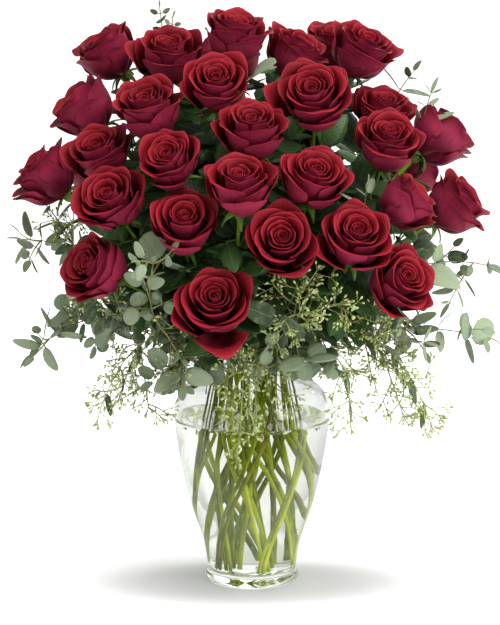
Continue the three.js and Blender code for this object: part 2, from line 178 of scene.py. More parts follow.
# How much further out each ring's stems stand at the foot, and bow out halfway down.
FOOT_SPREAD = (4, 7, 7)
BOW = (5, 11, 19)
# What is left of the half gap between two stems that lean together.
LEANING_GAP = 2.5
# How far a stem runs on from the neck, at least and as a share of its reach, how straight
# it comes in to its bloom, how deep it goes into the hip, and its steps above the neck.
STEM_RISE, RISE_SHARE, ARRIVE_SHARE = 68, 0.17, 0.3
HIP_DEPTH = 5
STEM_STEPS = 16


def bezier(points, t):
    """A place on the Bezier curve that these points pull."""
    while len(points) > 1:
        points = [a.lerp(b, t) for a, b in zip(points, points[1:])]
    return points[0]


def route(knots, pull, count):
    """Points that run straight between knots and then along the pulled curve."""
    points = []
    for a, b in zip(knots, knots[1:]):
        steps = max(2, round((b - a).length / 14))
        points += [a.lerp(b, k / steps) for k in range(steps)]
    return points + [bezier(pull, k / count) for k in range(count + 1)]


def leaning(ring, i):
    """Which way a stem leans to meet its neighbour below the neck; the inner ring stands alone."""
    if ring == 1:
        return (1, -1)[i % 2]
    return (-1, 0, 1)[i % 3] if ring == 2 and i > 0 else 0


def settle(points, ring, hand):
    """Below the neck a stem bows outwards, leans towards its neighbour and stands out at the foot."""
    for point in points:
        if point.z < NECK_HEIGHT:
            share = (NECK_HEIGHT - point.z) / (NECK_HEIGHT - STEM_FOOT)
            out = Vector((point.x, point.y, 0)).normalized()
            point += out * (FOOT_SPREAD[ring] * share + BOW[ring] * math.sin(math.pi * share))
            half_gap = math.pi * Vector((point.x, point.y)).length / NECK_RINGS[ring][0]
            point += UP.cross(out) * hand * (half_gap - LEANING_GAP) * min(1, share * 2)


def place_stems(blooms):
    """Gives every bloom the points that its stem runs through."""
    def round_of(v):
        """How many degrees round from the front a point is."""
        return math.degrees(math.atan2(v.x, -v.y))

    def spread(bloom):
        """How far a stem has to lean; 60 mm are added so that a low hip isn't divided by nearly nothing."""
        hip = bloom["hip"]
        return math.hypot(hip.x, hip.y) / (hip.z - NECK_HEIGHT + 60)

    order = sorted(blooms, key=spread)
    for ring, (count, radius, foot_radius, twist, crossed) in enumerate(NECK_RINGS):
        members = sorted(order[:count], key=lambda b: round_of(b["hip"]))
        order = order[count:]
        step = 360 / count
        turn = sum(round_of(b["hip"]) - (i * step - 180) for i, b in enumerate(members)) / count
        for i, bloom in enumerate(members):
            place = turn + i * step - 180
            way = -1 if crossed and i % 2 else 1
            short = ring == 2 and i % 3 == 1
            if short:
                foot = around(place + SHORT_TWIST, *SHORT_ENDS[(i - 1) // 3 % 3])
            else:
                foot = around(place + way * twist, foot_radius, STEM_FOOT)
            neck = around(place, radius, NECK_HEIGHT)
            top = bloom["hip"] - bloom["face"] * HIP_DEPTH
            reach = (top - neck).length
            lean = (neck - foot).normalized()
            pull = [neck, neck + lean * max(STEM_RISE, reach * RISE_SHARE),
                    top - bloom["face"] * reach * ARRIVE_SHARE, top]
            bloom["stem"] = route([foot, neck], pull, STEM_STEPS)
            if not short:
                settle(bloom["stem"], ring, leaning(ring, i))


place_stems(blooms)
print("longest stem in mm:", round(max(
    sum((b - a).length for a, b in zip(x["stem"], x["stem"][1:])) for x in blooms)))

# %% [markdown]
# ## Small tools
# A few helpers serve every piece: one turns a hex colour into linear light, one adds a
# shader node, one turns a finished bmesh into a piece that stands for its solid.

# %% Colour, node and piece helpers
def linear(hex_colour):
    """An sRGB hex colour as linear red, green, blue and alpha."""
    values = [int(hex_colour[i:i + 2], 16) / 255 for i in (1, 3, 5)]
    return (*[v / 12.92 if v <= 0.04045 else ((v + 0.055) / 1.055) ** 2.4 for v in values], 1)


def add(tree, kind, settings=None, **links):
    """Adds one shader node: settings are its properties, links its sockets by name, or by number as i0."""
    node = tree.nodes.new("ShaderNode" + kind)
    for name, value in (settings or {}).items():
        setattr(node, name, value)
    for name, value in links.items():
        socket = node.inputs[int(name[1:])] if name[1:].isdigit() else node.inputs[name.replace("_", " ")]
        if isinstance(value, bpy.types.NodeSocket):
            tree.links.new(value, socket)
        else:
            socket.default_value = value
    return node


def new_material(name):
    """An empty material with its Principled shader: (material, tree, shader)."""
    material = bpy.data.materials.new(name)
    material.use_nodes = True
    tree = material.node_tree
    return material, tree, tree.nodes["Principled BSDF"]


def finish_piece(bm, name, materials, nodes, wall=None, smooth=0, shift=0):
    """Makes a bmesh in millimetres a piece that rides on the root and stands for its CAD nodes."""
    bmesh.ops.scale(bm, vec=(MM, MM, MM), verts=bm.verts)
    for face in bm.faces:
        face.smooth = True
    mesh = bpy.data.meshes.new(name)
    bm.to_mesh(mesh)
    bm.free()
    piece = bpy.data.objects.new(name, mesh)
    scene.collection.objects.link(piece)
    for material in materials:
        mesh.materials.append(material)
    if wall:
        solid = piece.modifiers.new("wall", "SOLIDIFY")
        solid.thickness = wall * MM
        solid.offset = -1
        solid.material_offset = shift
        solid.material_offset_rim = shift
    if smooth:
        soft = piece.modifiers.new("soft", "SUBSURF")
        soft.levels = soft.render_levels = smooth
    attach(piece, "root")
    if nodes:
        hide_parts(*nodes)
    return piece


print("dark red in linear light:", [round(v, 3) for v in linear("#8f0c18")])

# %% [markdown]
# ## Petal, leaf and stem finishes
# Cut flowers have a handful of finishes. A rose petal is matt velvet on its inner face
# and smoother, more purple satin on its outer face. Rose leaves are dark and slightly
# glossy above and pale below, eucalyptus has a chalky wax bloom, and stems are fresh
# green with paler flecks. Each finish could be painted as a picture, but here every one
# is a small node tree: the petal or leaf's own UV map runs the veins along it, and an
# attribute called tone makes each petal and leaf a little lighter or darker.

# %% Layers of colour and a skin
SOFT = {"interpolation_type": "SMOOTHSTEP"}
COLOUR = {"data_type": "RGBA"}


def painted(tree, base, layers):
    """Fades paints over a base; a layer is its pattern, where it starts and ends, how much, and its paint."""
    colour = linear(base)
    for pattern, start, end, most, paint in layers:
        share = add(tree, "MapRange", SOFT, i0=pattern, i1=start, i2=end, i4=most).outputs[0]
        colour = add(tree, "Mix", COLOUR, i0=share, i6=colour, i7=linear(paint)).outputs[2]
    return colour


def give_skin(tree, shader, colour, relief, depth, **values):
    """Links a colour and a relief of a depth in millimetres, and sets the shader's own sockets."""
    bump = add(tree, "Bump", Height=relief, Distance=depth * MM, Strength=0.6)
    tree.links.new(colour, shader.inputs["Base Color"])
    tree.links.new(bump.outputs["Normal"], shader.inputs["Normal"])
    for name, value in values.items():
        shader.inputs[name.replace("_", " ")].default_value = value


print("layers fade with", SOFT["interpolation_type"])

# %% Rose petal, velvet inside and satin outside
def petal_finish(name, deep, fresh, rim, roughness, sheen):
    """Fresh rose petal: a base darkened as painted shade, a fresher blade, a rim lightened as a painted
    highlight, and fine veins.
    """
    material, tree, shader = new_material(name)
    uv = add(tree, "UVMap").outputs["UV"]
    length = add(tree, "SeparateXYZ", Vector=uv).outputs["Y"]
    streaks = add(tree, "Mapping", Vector=uv, Scale=(34, 2.2, 1)).outputs["Vector"]
    veins = add(tree, "TexNoise", Vector=streaks, Scale=1, Detail=3).outputs["Fac"]
    patches = add(tree, "Mapping", Vector=uv, Scale=(2.5, 2.5, 1)).outputs["Vector"]
    clouds = add(tree, "TexNoise", Vector=patches, Scale=1, Detail=2).outputs["Fac"]
    tone = add(tree, "Attribute", {"attribute_name": "tone"}).outputs["Fac"]
    # The deep colour at the base is painted shade for the dark eye, and the rim colour at the edge is a
    # painted highlight; the veins, patches and tone vary at random.
    colour = painted(tree, deep, (
        (length, 0.2, 0.7, 1, fresh), (length, 0.86, 1, 0.75, rim), (veins, 0.42, 0.7, 0.3, deep),
        (clouds, 0.4, 0.75, 0.35, rim), (tone, -0.2, 1, 0.35, deep)))
    give_skin(tree, shader, colour, veins, 0.25, Roughness=roughness, Specular_IOR_Level=0.22, IOR=1.4,
              Sheen_Weight=sheen, Sheen_Roughness=0.4, Sheen_Tint=linear("#e05070"))
    return material


# For each face: the painted shade at the base, the blade's own colour and the painted highlight at the rim.
petal_inside = petal_finish("rose_petal_velvet_inside", "#38040b", "#8c1522", "#b22a3a", 0.6, 0.1)
petal_outside = petal_finish("rose_petal_satin_outside", "#62132a", "#a42e4b", "#b43a5b", 0.46, 0.25)
print("petal finishes:", petal_inside.name, petal_outside.name)

# %% Leaf blades
def leaf_finish(name, dark, light, rib, strength, roughness, gloss, bloom):
    """Leaf blade: a pale midrib, side veins that run forward, and a waxy or glossy skin."""
    material, tree, shader = new_material(name)
    place = add(tree, "SeparateXYZ", Vector=add(tree, "UVMap").outputs["UV"])
    off = add(tree, "Math", {"operation": "SUBTRACT"}, i0=place.outputs["X"], i1=0.5).outputs[0]
    side = add(tree, "Math", {"operation": "ABSOLUTE"}, i0=off).outputs[0]
    fan = add(tree, "Math", {"operation": "MULTIPLY_ADD"}, i0=side, i1=-0.9, i2=place.outputs["Y"]).outputs[0]
    comb = add(tree, "Math", {"operation": "PINGPONG"}, i0=fan, i1=0.06).outputs[0]
    tone = add(tree, "Attribute", {"attribute_name": "tone"}).outputs["Fac"]
    spots = add(tree, "TexNoise", Vector=add(tree, "TexCoord").outputs["Object"],
                Scale=1 / (9 * MM), Detail=3).outputs["Fac"]
    colour = painted(tree, dark, (
        (tone, -1, 1, 1, light), (spots, 0.4, 0.7, 0.35, light),
        (comb, 0.012, 0, strength / 2, rib), (side, 0.03, 0.008, strength, rib)))
    veins = add(tree, "MapRange", SOFT, i0=comb, i1=0, i2=0.02).outputs[0]
    give_skin(tree, shader, colour, veins, 0.3, Roughness=roughness, Specular_IOR_Level=gloss, IOR=1.45,
              Sheen_Weight=bloom)
    return material


rose_leaf_above = leaf_finish("rose_leaf_glossy_top", "#1c3319", "#3f602e", "#5c7a3c", 0.6, 0.38, 0.45, 0)
rose_leaf_below = leaf_finish("rose_leaf_matt_underside", "#4a6339", "#6d8850", "#93a76b", 0.6, 0.6, 0.3, 0)
eucalyptus_leaf = leaf_finish("eucalyptus_leaf_waxy", "#445c3c", "#a4b593", "#bcc89a", 0.35, 0.5, 0.35, 0.05)
print("leaf finishes:", rose_leaf_above.name, eucalyptus_leaf.name)

# %% Stems, twigs and seed buds
def stalk_finish(name, dark, light, fleck, old, grain, roughness, gloss=0.3, painted_shade_over_neck=None):
    """Mottled green stalk: flecks of grain millimetres, an old colour for low tones, painted shade over the
    neck.
    """
    material, tree, shader = new_material(name)
    place = add(tree, "TexCoord").outputs["Object"]
    long = add(tree, "Mapping", Vector=place, Scale=(1, 1, 0.25)).outputs["Vector"]
    mottle = add(tree, "TexNoise", Vector=long, Scale=1 / (grain * 6 * MM), Detail=2).outputs["Fac"]
    flecks = add(tree, "TexNoise", Vector=long, Scale=1 / (grain * MM), Detail=2).outputs["Fac"]
    tone = add(tree, "Attribute", {"attribute_name": "tone"}).outputs["Fac"]
    layers = [(mottle, 0.35, 0.65, 1, light), (tone, 0, 1, 0.6, fleck), (tone, -0.2, -1, 0.7, old),
              (flecks, 0.55, 0.72, 0.5, fleck)]
    # Over the neck the stalk fades to a darker green: painted shade.
    if painted_shade_over_neck:
        height = add(tree, "SeparateXYZ", Vector=place).outputs["Z"]
        layers.append((height, 230 * MM, 320 * MM, 0.8, painted_shade_over_neck))
    give_skin(tree, shader, painted(tree, dark, layers), flecks, 0.3,
              Roughness=roughness, Specular_IOR_Level=gloss, IOR=1.45)
    return material


# The rose stems are painted lighter and yellower in the water, painted light for the light that reaches them
# there from all sides, and darker over the neck, painted shade.
rose_stem = stalk_finish("rose_stem_fresh_green", "#7a8e0a", "#cde01a", "#f0f24a", "#8a8020", 2.5, 0.35,
                         gloss=0.04, painted_shade_over_neck="#5a7a2a")
twig_bark = stalk_finish("eucalyptus_twig_pale_bark", "#6f7a45", "#98a262", "#a9865a", "#6f7a45", 1.5, 0.6)
seed_stalk = stalk_finish("seeded_eucalyptus_stalk", "#9cac5e", "#d2dd9e", "#b0b36e", "#9cac5e", 1.5, 0.55)
seed_bud = stalk_finish("seeded_eucalyptus_bud", "#a4b662", "#dde6b0", "#8f9c50", "#95a558", 1.2, 0.45)
sepal_green = stalk_finish("rose_sepal_green", "#3c5a20", "#6c8a36", "#8fa24a", "#3c5a20", 2, 0.5)
print("stalk finishes:", rose_stem.name, seed_bud.name)

# %% [markdown]
# ## Clear glass and water
# The vase is pressed soda glass, a clear dielectric with an IOR of 1.5, and it holds
# water with an IOR of 1.33. Real caustics are slow to render, so shadow rays see both as
# nearly clear and light still reaches the stems inside. A ray that is caught between the
# walls goes straight on after six bounces, as the bounces of a render are limited and it
# would end black, and a part of the light crosses the water's top unbent.

# %% Glass and water finishes
WATER_LEVEL = 178


def clear_finish(name, tint, shade, ior, straight):
    """A refracting dielectric; shadow rays, caught rays and some at the water's top go straight."""
    material, tree, shader = new_material(name)
    shader.inputs["Base Color"].default_value = linear(tint)
    shader.inputs["Transmission Weight"].default_value = 1
    shader.inputs["IOR"].default_value = ior
    shader.inputs["Roughness"].default_value = 0
    place = add(tree, "TexCoord").outputs["Object"]
    ripple = add(tree, "TexNoise", Vector=place, Scale=1 / (45 * MM), Detail=1).outputs["Fac"]
    bump = add(tree, "Bump", Height=ripple, Distance=1.2 * MM, Strength=0.6)
    tree.links.new(bump.outputs["Normal"], shader.inputs["Normal"])
    path = add(tree, "LightPath")
    height = add(tree, "SeparateXYZ", Vector=place).outputs["Z"]
    caught = add(tree, "Math", {"operation": "GREATER_THAN"}, i0=path.outputs["Ray Depth"], i1=6.5).outputs[0]
    top = add(tree, "MapRange", SOFT, i0=height, i1=(WATER_LEVEL - 0.8) * MM,
              i2=(WATER_LEVEL - 0.2) * MM, i4=straight).outputs[0]
    share = add(tree, "Math", {"operation": "MAXIMUM"}, i0=caught, i1=top).outputs[0]
    share = add(tree, "Math", {"operation": "MAXIMUM"}, i0=share, i1=path.outputs["Is Shadow Ray"]).outputs[0]
    through = add(tree, "BsdfTransparent", Color=linear(shade))
    both = add(tree, "MixShader", i0=share, i1=shader.outputs[0], i2=through.outputs[0])
    tree.links.new(both.outputs[0], tree.nodes["Material Output"].inputs["Surface"])
    return material


clear_glass = clear_finish("pressed_soda_glass", "#fdfefd", "#f6f9f7", 1.5, 0)
clear_water = clear_finish("still_water", "#fdfff8", "#fbfcf8", 1.33, 0.3)
print("clear finishes:", clear_glass.name, clear_water.name)

# %% [markdown]
# ## The vase
# The real vase is one turned shape: a thick foot, a body that widens to a shoulder, a
# ring at the neck and a flared lip. It could be a modelled cage with subdivision, but a
# profile spun round the upright axis is exact and gives an even wall, so the inner line
# is the outer one moved in by the wall.

# %% Profile of the vase
VASE_WALL = 3
VASE_FLOOR = 12
VASE_SKIN = [(46.8, 13), (52.3, 45), (67, 90), (78, 142), (82, 179),
             (78, 201), (67, 212), (54, 218), (47, 229), (51.5, 246)]


def profile(rows):
    """Points of a line to be turned, from its radii and heights."""
    return [Vector((radius, 0, height)) for radius, height in rows]


def smooth_line(knots, steps):
    """Points on the soft curve through the knots, as a turner would draw it."""
    knots = profile(knots)
    ends = [knots[0] * 2 - knots[1], *knots, knots[-1] * 2 - knots[-2]]
    line = []
    for a, b, c, d in zip(ends, ends[1:], ends[2:], ends[3:]):
        for k in range(steps):
            t = k / steps
            line.append(0.5 * (b * 2 + (c - a) * t + (a * 2 - b * 5 + c * 4 - d) * t ** 2
                               + (b * 3 - a - c * 3 + d) * t ** 3))
    return line + [knots[-1]]


def moved_in(line, wall):
    """The line moved towards the axis by the wall, square to itself."""
    ways = [(b - a) for a, b in zip([line[0], *line], [*line[1:], line[-1]])]
    return [p + Vector((-w.z, 0, w.x)).normalized() * wall for p, w in zip(line, ways)]


skin = smooth_line(VASE_SKIN, 6)
# The wall starts over the rounded corner of the well, 6 mm above the floor.
inner_skin = [p for p in moved_in(skin, VASE_WALL) if p.z > VASE_FLOOR + 6]
print("vase skin points:", len(skin), "inner:", len(inner_skin))

# %% Spin a profile
TURNED_STEPS = 96


def spun(line):
    """A closed turned body from a line that starts and ends on the upright axis."""
    bm = start_mesh()
    verts = [bm.verts.new(p) for p in line]
    edges = [bm.edges.new(pair) for pair in zip(verts, verts[1:])]
    bmesh.ops.spin(bm, geom=verts + edges, cent=(0, 0, 0), axis=(0, 0, 1), dvec=(0, 0, 0),
                   angle=math.tau, steps=TURNED_STEPS, use_merge=True)
    bmesh.ops.remove_doubles(bm, verts=bm.verts, dist=0.01)
    bmesh.ops.recalc_face_normals(bm, faces=bm.faces)
    return bm


def start_mesh():
    """An empty bmesh that carries a UV map and the tone of each petal or leaf."""
    bm = bmesh.new()
    bm.loops.layers.uv.verify()
    bm.verts.layers.float.new("tone")
    return bm


def pour(part, into):
    """Adds a small bmesh to a large one; operators get slower as a mesh grows."""
    mesh = bpy.data.meshes.new("part")
    part.to_mesh(mesh)
    part.free()
    into.from_mesh(mesh)
    bpy.data.meshes.remove(mesh)


foot = profile([(0, 2.5), (32, 1.8), (38, 0), (45.5, 0), (48.6, 1.2), (49.6, 3.5), (49.6, 6),
                (48.6, 8.8), (47.1, 11)])
lip = profile([(51.9, 247.6), (51.3, 248.6), (50, 248.8), (48.9, 247.8)])
well = profile([(43.4, VASE_FLOOR + 4), (41, VASE_FLOOR + 1.4), (36, VASE_FLOOR + 0.2), (0, VASE_FLOOR)])
vase = finish_piece(spun(foot + skin + lip + inner_skin[::-1] + well),
                    "glass_vase_body", [clear_glass], ["glass_vase"])
print("vase faces:", len(vase.data.polygons))

# %% The water
# It overlaps the inner wall by 0.3 mm, so that no film of air shows between them, and
# creeps up the wall by 0.5 mm.
OVERLAP = 0.3
wet_wall = [p + Vector((OVERLAP, 0, 0)) for p in inner_skin if p.z < WATER_LEVEL]
wet_floor = profile([(0, VASE_FLOOR - OVERLAP), (36, VASE_FLOOR - 0.1), (41, VASE_FLOOR + 1.1),
                     (43.7, VASE_FLOOR + 4)])
brim = next(p.x for p in inner_skin if p.z >= WATER_LEVEL)
top = profile([(brim + OVERLAP, WATER_LEVEL + 0.5), (brim - 1, WATER_LEVEL), (0, WATER_LEVEL)])
water = finish_piece(spun(wet_floor + wet_wall + top), "water_body", [clear_water], ["water"])
print("water faces:", len(water.data.polygons))

# %% [markdown]
# ## A rose
# A rose head is close to thirty petals that wrap each other in a spiral. The inner ones
# stand upright and overlap into the dark eye, the middle ones flare, and the rims of the
# outer ones roll back until their sides meet in a point. Outside them two or three guard
# petals stand open. One petal could be sculpted and copied, but then every rose looks
# the same, so each petal starts as a small flat grid that is bent by a few numbers: how
# far out it stands, how high it reaches, how wide it is, and how its rim rolls. The
# 137.5 degree turn between petals is the one that real plants use.

# %% How a petal changes from the eye to the outside
# Share of the way out, then millimetres or degrees.
STANDS_OUT = [(0, 2), (0.2, 5.5), (0.42, 11), (0.6, 17), (0.8, 24.5), (1, 29)]
REACHES_UP = [(0, 43), (0.2, 46.5), (0.42, 48), (0.6, 47), (0.8, 43), (1, 36)]
HALF_WIDTH = [(0, 7), (0.2, 12), (0.42, 18), (0.6, 24.5), (0.8, 30), (1, 31)]
RIM_LENGTH = [(0, 3), (0.2, 4), (0.42, 6.5), (0.6, 10.5), (0.8, 15), (1, 18)]
RIM_ROLL = [(0, 8), (0.2, 25), (0.42, 58), (0.6, 98), (0.8, 136), (1, 152)]
RIM_STARTS = 0.58
RIM_STEPS = 8


def mix(a, b, share):
    """The value a share of the way from a to b."""
    return a + (b - a) * share


def ease(value, low=0.0, high=1.0):
    """0 below low, 1 above high, and a soft step between them."""
    value = max(0.0, min(1.0, (value - low) / (high - low)))
    return value * value * (3 - 2 * value)


def read_off(rows, share):
    """The value at a share, eased between the rows of one of the tables above."""
    for (a, low), (b, high) in zip(rows, rows[1:]):
        if share <= b:
            return mix(low, high, ease((share - a) / (b - a)))
    return rows[-1][1]


print("outer petals stand out by", read_off(STANDS_OUT, 0.9), "mm")

# %% The numbers of one petal
def petal_numbers(share, rng, open_by):
    """What bends one petal; share is 0 at the eye and 1 outside."""
    def about(part):
        """A factor of 1, give or take up to a part."""
        return 1 + rng.uniform(-part, part)
    out = read_off(STANDS_OUT, share) * about(mix(0.04, 0.13, share)) * mix(1, open_by, share)
    return {
        "base": mix(0.8, 4.5, share), "out": out, "share": share,
        "up": read_off(REACHES_UP, share) * about(mix(0.02, 0.09, share)),
        "half": read_off(HALF_WIDTH, share) * about(0.05),
        "rim": read_off(RIM_LENGTH, share) * about(0.12),
        "roll": math.radians(read_off(RIM_ROLL, share) * about(0.18)),
        "lean": mix(-0.6, 2.5, share) + rng.uniform(-1.5, 2.5) * share ** 2,
        "round": mix(0.24, 0.44, share) + rng.uniform(-0.05, 0.07) * share,
        "point": mix(2, 0.85, ease(share, 0.1, 0.7)),
        "flatten": mix(0.15, 1.35, ease(share, 0.05, 0.65)),
        "tuck": mix(0.9, 1.6, share),
        "sides": mix(0, 3.8, ease(share, 0.1, 0.8)) * about(0.4),
        "skew": rng.uniform(-1, 1) * mix(1.5, 6, share),
        "wave": mix(0.25, 2.2, share) * about(0.4),
        "waves": rng.uniform(3, 7.5), "phase": rng.uniform(0, 6.28),
        "bend": out * mix(1, 1.15, share) + 0.3, "claw": 0.3,
    }


def petal_point(u, t, petal):
    """A point of a petal: u runs across from -1 to 1, t from the base at 0 to the rim."""
    side = abs(u)
    t *= 1 - petal["round"] * t * side ** petal["point"]
    share, out, up = petal["share"], petal["out"], petal["up"]
    foot = Vector((petal["base"], 3 * (1 - share)))
    belly = Vector((mix(out, out * 1.14, share), foot.y + mix(16, 4, share)))
    waist = Vector((out * 1.04, up * 0.66))
    brow = Vector((out + petal["lean"], up))
    if t < RIM_STARTS:
        s = t / RIM_STARTS
        point = bezier([foot, belly, waist, brow], s)
        way = bezier([belly - foot, waist - belly, brow - waist], s)
        slope = math.atan2(way.x, way.y)
    else:
        s = (t - RIM_STARTS) / (1 - RIM_STARTS)
        slope = math.atan2((brow - waist).x, (brow - waist).y)
        roll = petal["roll"] * (0.42 + 0.9 * side ** 0.9)
        point = brow.copy()
        for k in range(RIM_STEPS):
            here = slope + roll * ease((k + 0.5) / RIM_STEPS * s, -0.15, 1.1)
            point += Vector((math.sin(here), math.cos(here))) * petal["rim"] * s / RIM_STEPS
        slope += roll * ease(s, -0.15, 1.1)
    outline = mix(petal["claw"], 1, math.sin(min(1, t / 0.62) * math.pi / 2) ** 0.9)
    half = petal["half"] * outline * (1 - 0.3 * ease(t, 0.62, 1) * side)
    bend = mix(max(petal["base"], 2), petal["bend"], ease(t / RIM_STARTS))
    turn = half * u / bend
    inward = bend * (1 - math.cos(turn)) * (1 - petal["flatten"] * ease(t, 0.6, 1.05))
    outward = petal["tuck"] * u * ease(t, 0, 0.4)
    outward += petal["sides"] * ease(side, 0.5, 1) * ease(t, 0.3, 0.85)
    outward += petal["wave"] * math.sin(petal["waves"] * u + petal["phase"]) * ease(t, 0.45, 1)
    point.y += petal["skew"] * u * ease(t, 0.3, 1)
    point += Vector((math.cos(slope), -math.sin(slope))) * (outward - inward)
    return Vector((point.x, bend * math.sin(turn), point.y))


print("tip of an outer petal:", [round(v) for v in petal_point(0, 1, petal_numbers(1, random.Random(1), 1))])

# %% Roses that the bouquet shows wide open
# For some blooms, petals that have fallen open: which way they point as seen from in
# front of the bloom (0 is right, 90 is up), how far they flare, and their length.
FALLEN_OPEN = {
    10: [(170, 30, 1.0), (290, 22, 0.95), (45, 20, 0.95)],
    14: [(178, 42, 1.05), (265, 24, 0.95)],
    25: [(205, 30, 1.0), (300, 26, 0.95)],
    27: [(281, 46, 1.14), (212, 24, 1.02), (30, 14, 0.9)],
    28: [(228, 34, 1.0), (310, 24, 0.95)],
}
FULL_FLARE = 70


def guard_petals(number):
    """The three guard petals of any other bloom, which stand a little open all round it."""
    rng = random.Random(900 + number)
    start = rng.uniform(170, 300)
    return [(start + k * 112 + rng.uniform(-25, 25), rng.uniform(10, 24), rng.uniform(0.86, 0.98))
            for k in range(3)]


def fallen_petal(flare, length, rng):
    """The numbers of a guard petal that has opened away from the head."""
    petal = petal_numbers(1, rng, 1)
    share = flare / FULL_FLARE
    petal.update(up=mix(36, 18, share), out=mix(29, 37, share) * length, lean=mix(3, 12, share),
                 rim=17 * length, roll=math.radians(rng.uniform(60, 105)), half=29 * length, bend=38,
                 round=0.5, point=0.85, flatten=0.95, sides=0.5, wave=1.6, claw=0.5)
    return petal


# %% Build the rose heads
PETALS = 24
GOLDEN_TURN = 137.5


def build_petal(bm, petal, turn, tone):
    """Bends one flat grid into a petal, turned round the rose's own axis."""
    grid = bmesh.ops.create_grid(bm, x_segments=6, y_segments=8, size=1, calc_uvs=True)
    spin = Matrix.Rotation(math.radians(turn), 3, "Z")
    layer = bm.verts.layers.float["tone"]
    for v in grid["verts"]:
        v.co = spin @ petal_point(v.co.x, (v.co.y + 1) / 2, petal)
        v[layer] = tone


def build_rose(seed, open_by, fallen):
    """All the petals of one rose, in millimetres, looking up from its hip."""
    bm = start_mesh()
    rng = random.Random(seed)
    start = rng.uniform(0, 360)
    for k in range(PETALS):
        share = (k / (PETALS - 1)) ** 0.92
        petal = petal_numbers(share, rng, open_by)
        turn = start + k * GOLDEN_TURN + rng.uniform(-1, 1) * mix(12, 26, share)
        build_petal(bm, petal, turn, rng.uniform(-1, 1))
    for turn, flare, length in fallen:
        build_petal(bm, fallen_petal(flare, length, rng), turn, rng.uniform(-1, 0.3))
    return bm


def stand_at(bloom):
    """Turns and moves a rose from its own axes to its place on the stem."""
    out = bloom["face"]
    right = UP.cross(out).normalized()
    turn = Matrix((right, out.cross(right), out)).transposed()
    return Matrix.Translation(bloom["hip"]) @ (turn * bloom["size"]).to_4x4()


for number, bloom in enumerate(blooms, 1):
    rose = build_rose(40 + number, random.Random(number).uniform(0.96, 1.08),
                      FALLEN_OPEN.get(number, guard_petals(number)))
    bmesh.ops.transform(rose, matrix=stand_at(bloom), verts=rose.verts)
    finish_piece(rose, f"rose_{number:02}_petals", [petal_outside, petal_inside],
                 [f"rose_bloom_{number:02}"], wall=0.5, smooth=1, shift=1)
print("roses built:", len(blooms))

# %% [markdown]
# ## Stems, hips and sepals
# A cut rose stem is a round rod, a little thicker at its nodes, that ends in a green hip
# under the petals with five sepals bent back from it. A curve with a bevel could make
# the rod, but a circle extruded from point to point keeps the faces few and even, and
# lets the thickness change at each node.

# %% A rod through points
def swept_rod(bm, points, radii, sides, tone=0):
    """A capped circle is extruded from point to point."""
    ways = [(b - a).normalized() for a, b in zip(points, points[1:])]
    ways = [ways[0]] + [(a + b).normalized() for a, b in zip(ways, ways[1:])] + [ways[-1]]
    turn = UP.rotation_difference(ways[0])
    place = Matrix.Translation(points[0]) @ turn.to_matrix().to_4x4() @ Matrix.Scale(radii[0], 4)
    ring = bmesh.ops.create_circle(bm, cap_ends=True, segments=sides, radius=1, matrix=place)["verts"]
    made = list(ring)
    edges = list({e for v in ring for e in v.link_edges})
    for k in range(1, len(points)):
        turn = ways[k - 1].rotation_difference(ways[k]) @ turn
        new = bmesh.ops.extrude_edge_only(bm, edges=edges)["geom"]
        ring = [g for g in new if isinstance(g, bmesh.types.BMVert)]
        edges = [g for g in new if isinstance(g, bmesh.types.BMEdge)]
        step = Matrix.Translation(points[k]) @ turn.to_matrix().to_4x4() @ Matrix.Scale(radii[k], 4)
        bmesh.ops.transform(bm, matrix=step @ place.inverted(), verts=ring)
        place = step
        made += ring
    bmesh.ops.contextual_create(bm, geom=edges)
    bmesh.ops.recalc_face_normals(bm, faces=list({f for v in made for f in v.link_faces}))
    layer = bm.verts.layers.float["tone"]
    for v in made:
        v[layer] = tone


def short_rod(bm, start, end, radius, tip, sides=4):
    """One straight stalk, from a capped cone."""
    way = end - start
    place = Matrix.Translation((start + end) / 2) @ UP.rotation_difference(way).to_matrix().to_4x4()
    bmesh.ops.create_cone(bm, cap_ends=True, segments=sides, radius1=radius, radius2=tip,
                          depth=way.length, matrix=place)


print("a rod is swept or, when short and straight, a cone")

# %% The rose stems
STEM_RADIUS = 2.05
STEM_SIDES = 8
NODE_GAP = 55
# Thorns are left on above the lip only: the part that stands in the vase is stripped.
THORNS_FROM = WATER_LEVEL + 70

stems = start_mesh()
rng = random.Random(7)
for bloom in blooms:
    points = bloom["stem"]
    length, lengths = 0, [0]
    for a, b in zip(points, points[1:]):
        length += (b - a).length
        lengths.append(length)
    shift, thick = rng.uniform(0, NODE_GAP), rng.uniform(0.88, 1.08)
    radii = [STEM_RADIUS * thick * mix(1.04, 0.8, s / length)
             + 0.5 * max(0, 1 - abs((s + shift) % NODE_GAP - NODE_GAP / 2) / 8) for s in lengths]
    stem = start_mesh()
    tone = rng.uniform(-1, 1)
    swept_rod(stem, points, radii, STEM_SIDES, tone)
    for k in range(2, len(points) - 8, 4):
        way = (points[k + 1] - points[k]).normalized()
        ring = points[k].lerp(points[k + 1], rng.random())
        swept_rod(stem, [ring - way * 1.1, ring, ring + way * 1.1],
                  [radii[k] - 0.2, radii[k] + 0.45, radii[k] - 0.2], STEM_SIDES, tone)
    for k in range(6, len(points) - 6, 4):
        way = (points[k + 1] - points[k]).normalized()
        side = way.cross(Vector((rng.uniform(-1, 1), rng.uniform(-1, 1), 0.2))).normalized()
        if points[k].z > THORNS_FROM:
            start = points[k] + side * (radii[k] - 0.8)
            short_rod(stem, start, start + side * 4.5 - way * 1.5, 1.7, 0.15, 5)
    pour(stem, stems)
finish_piece(stems, "rose_stem_rods", [rose_stem], ["rose_stems"])
print("stems:", len(blooms))

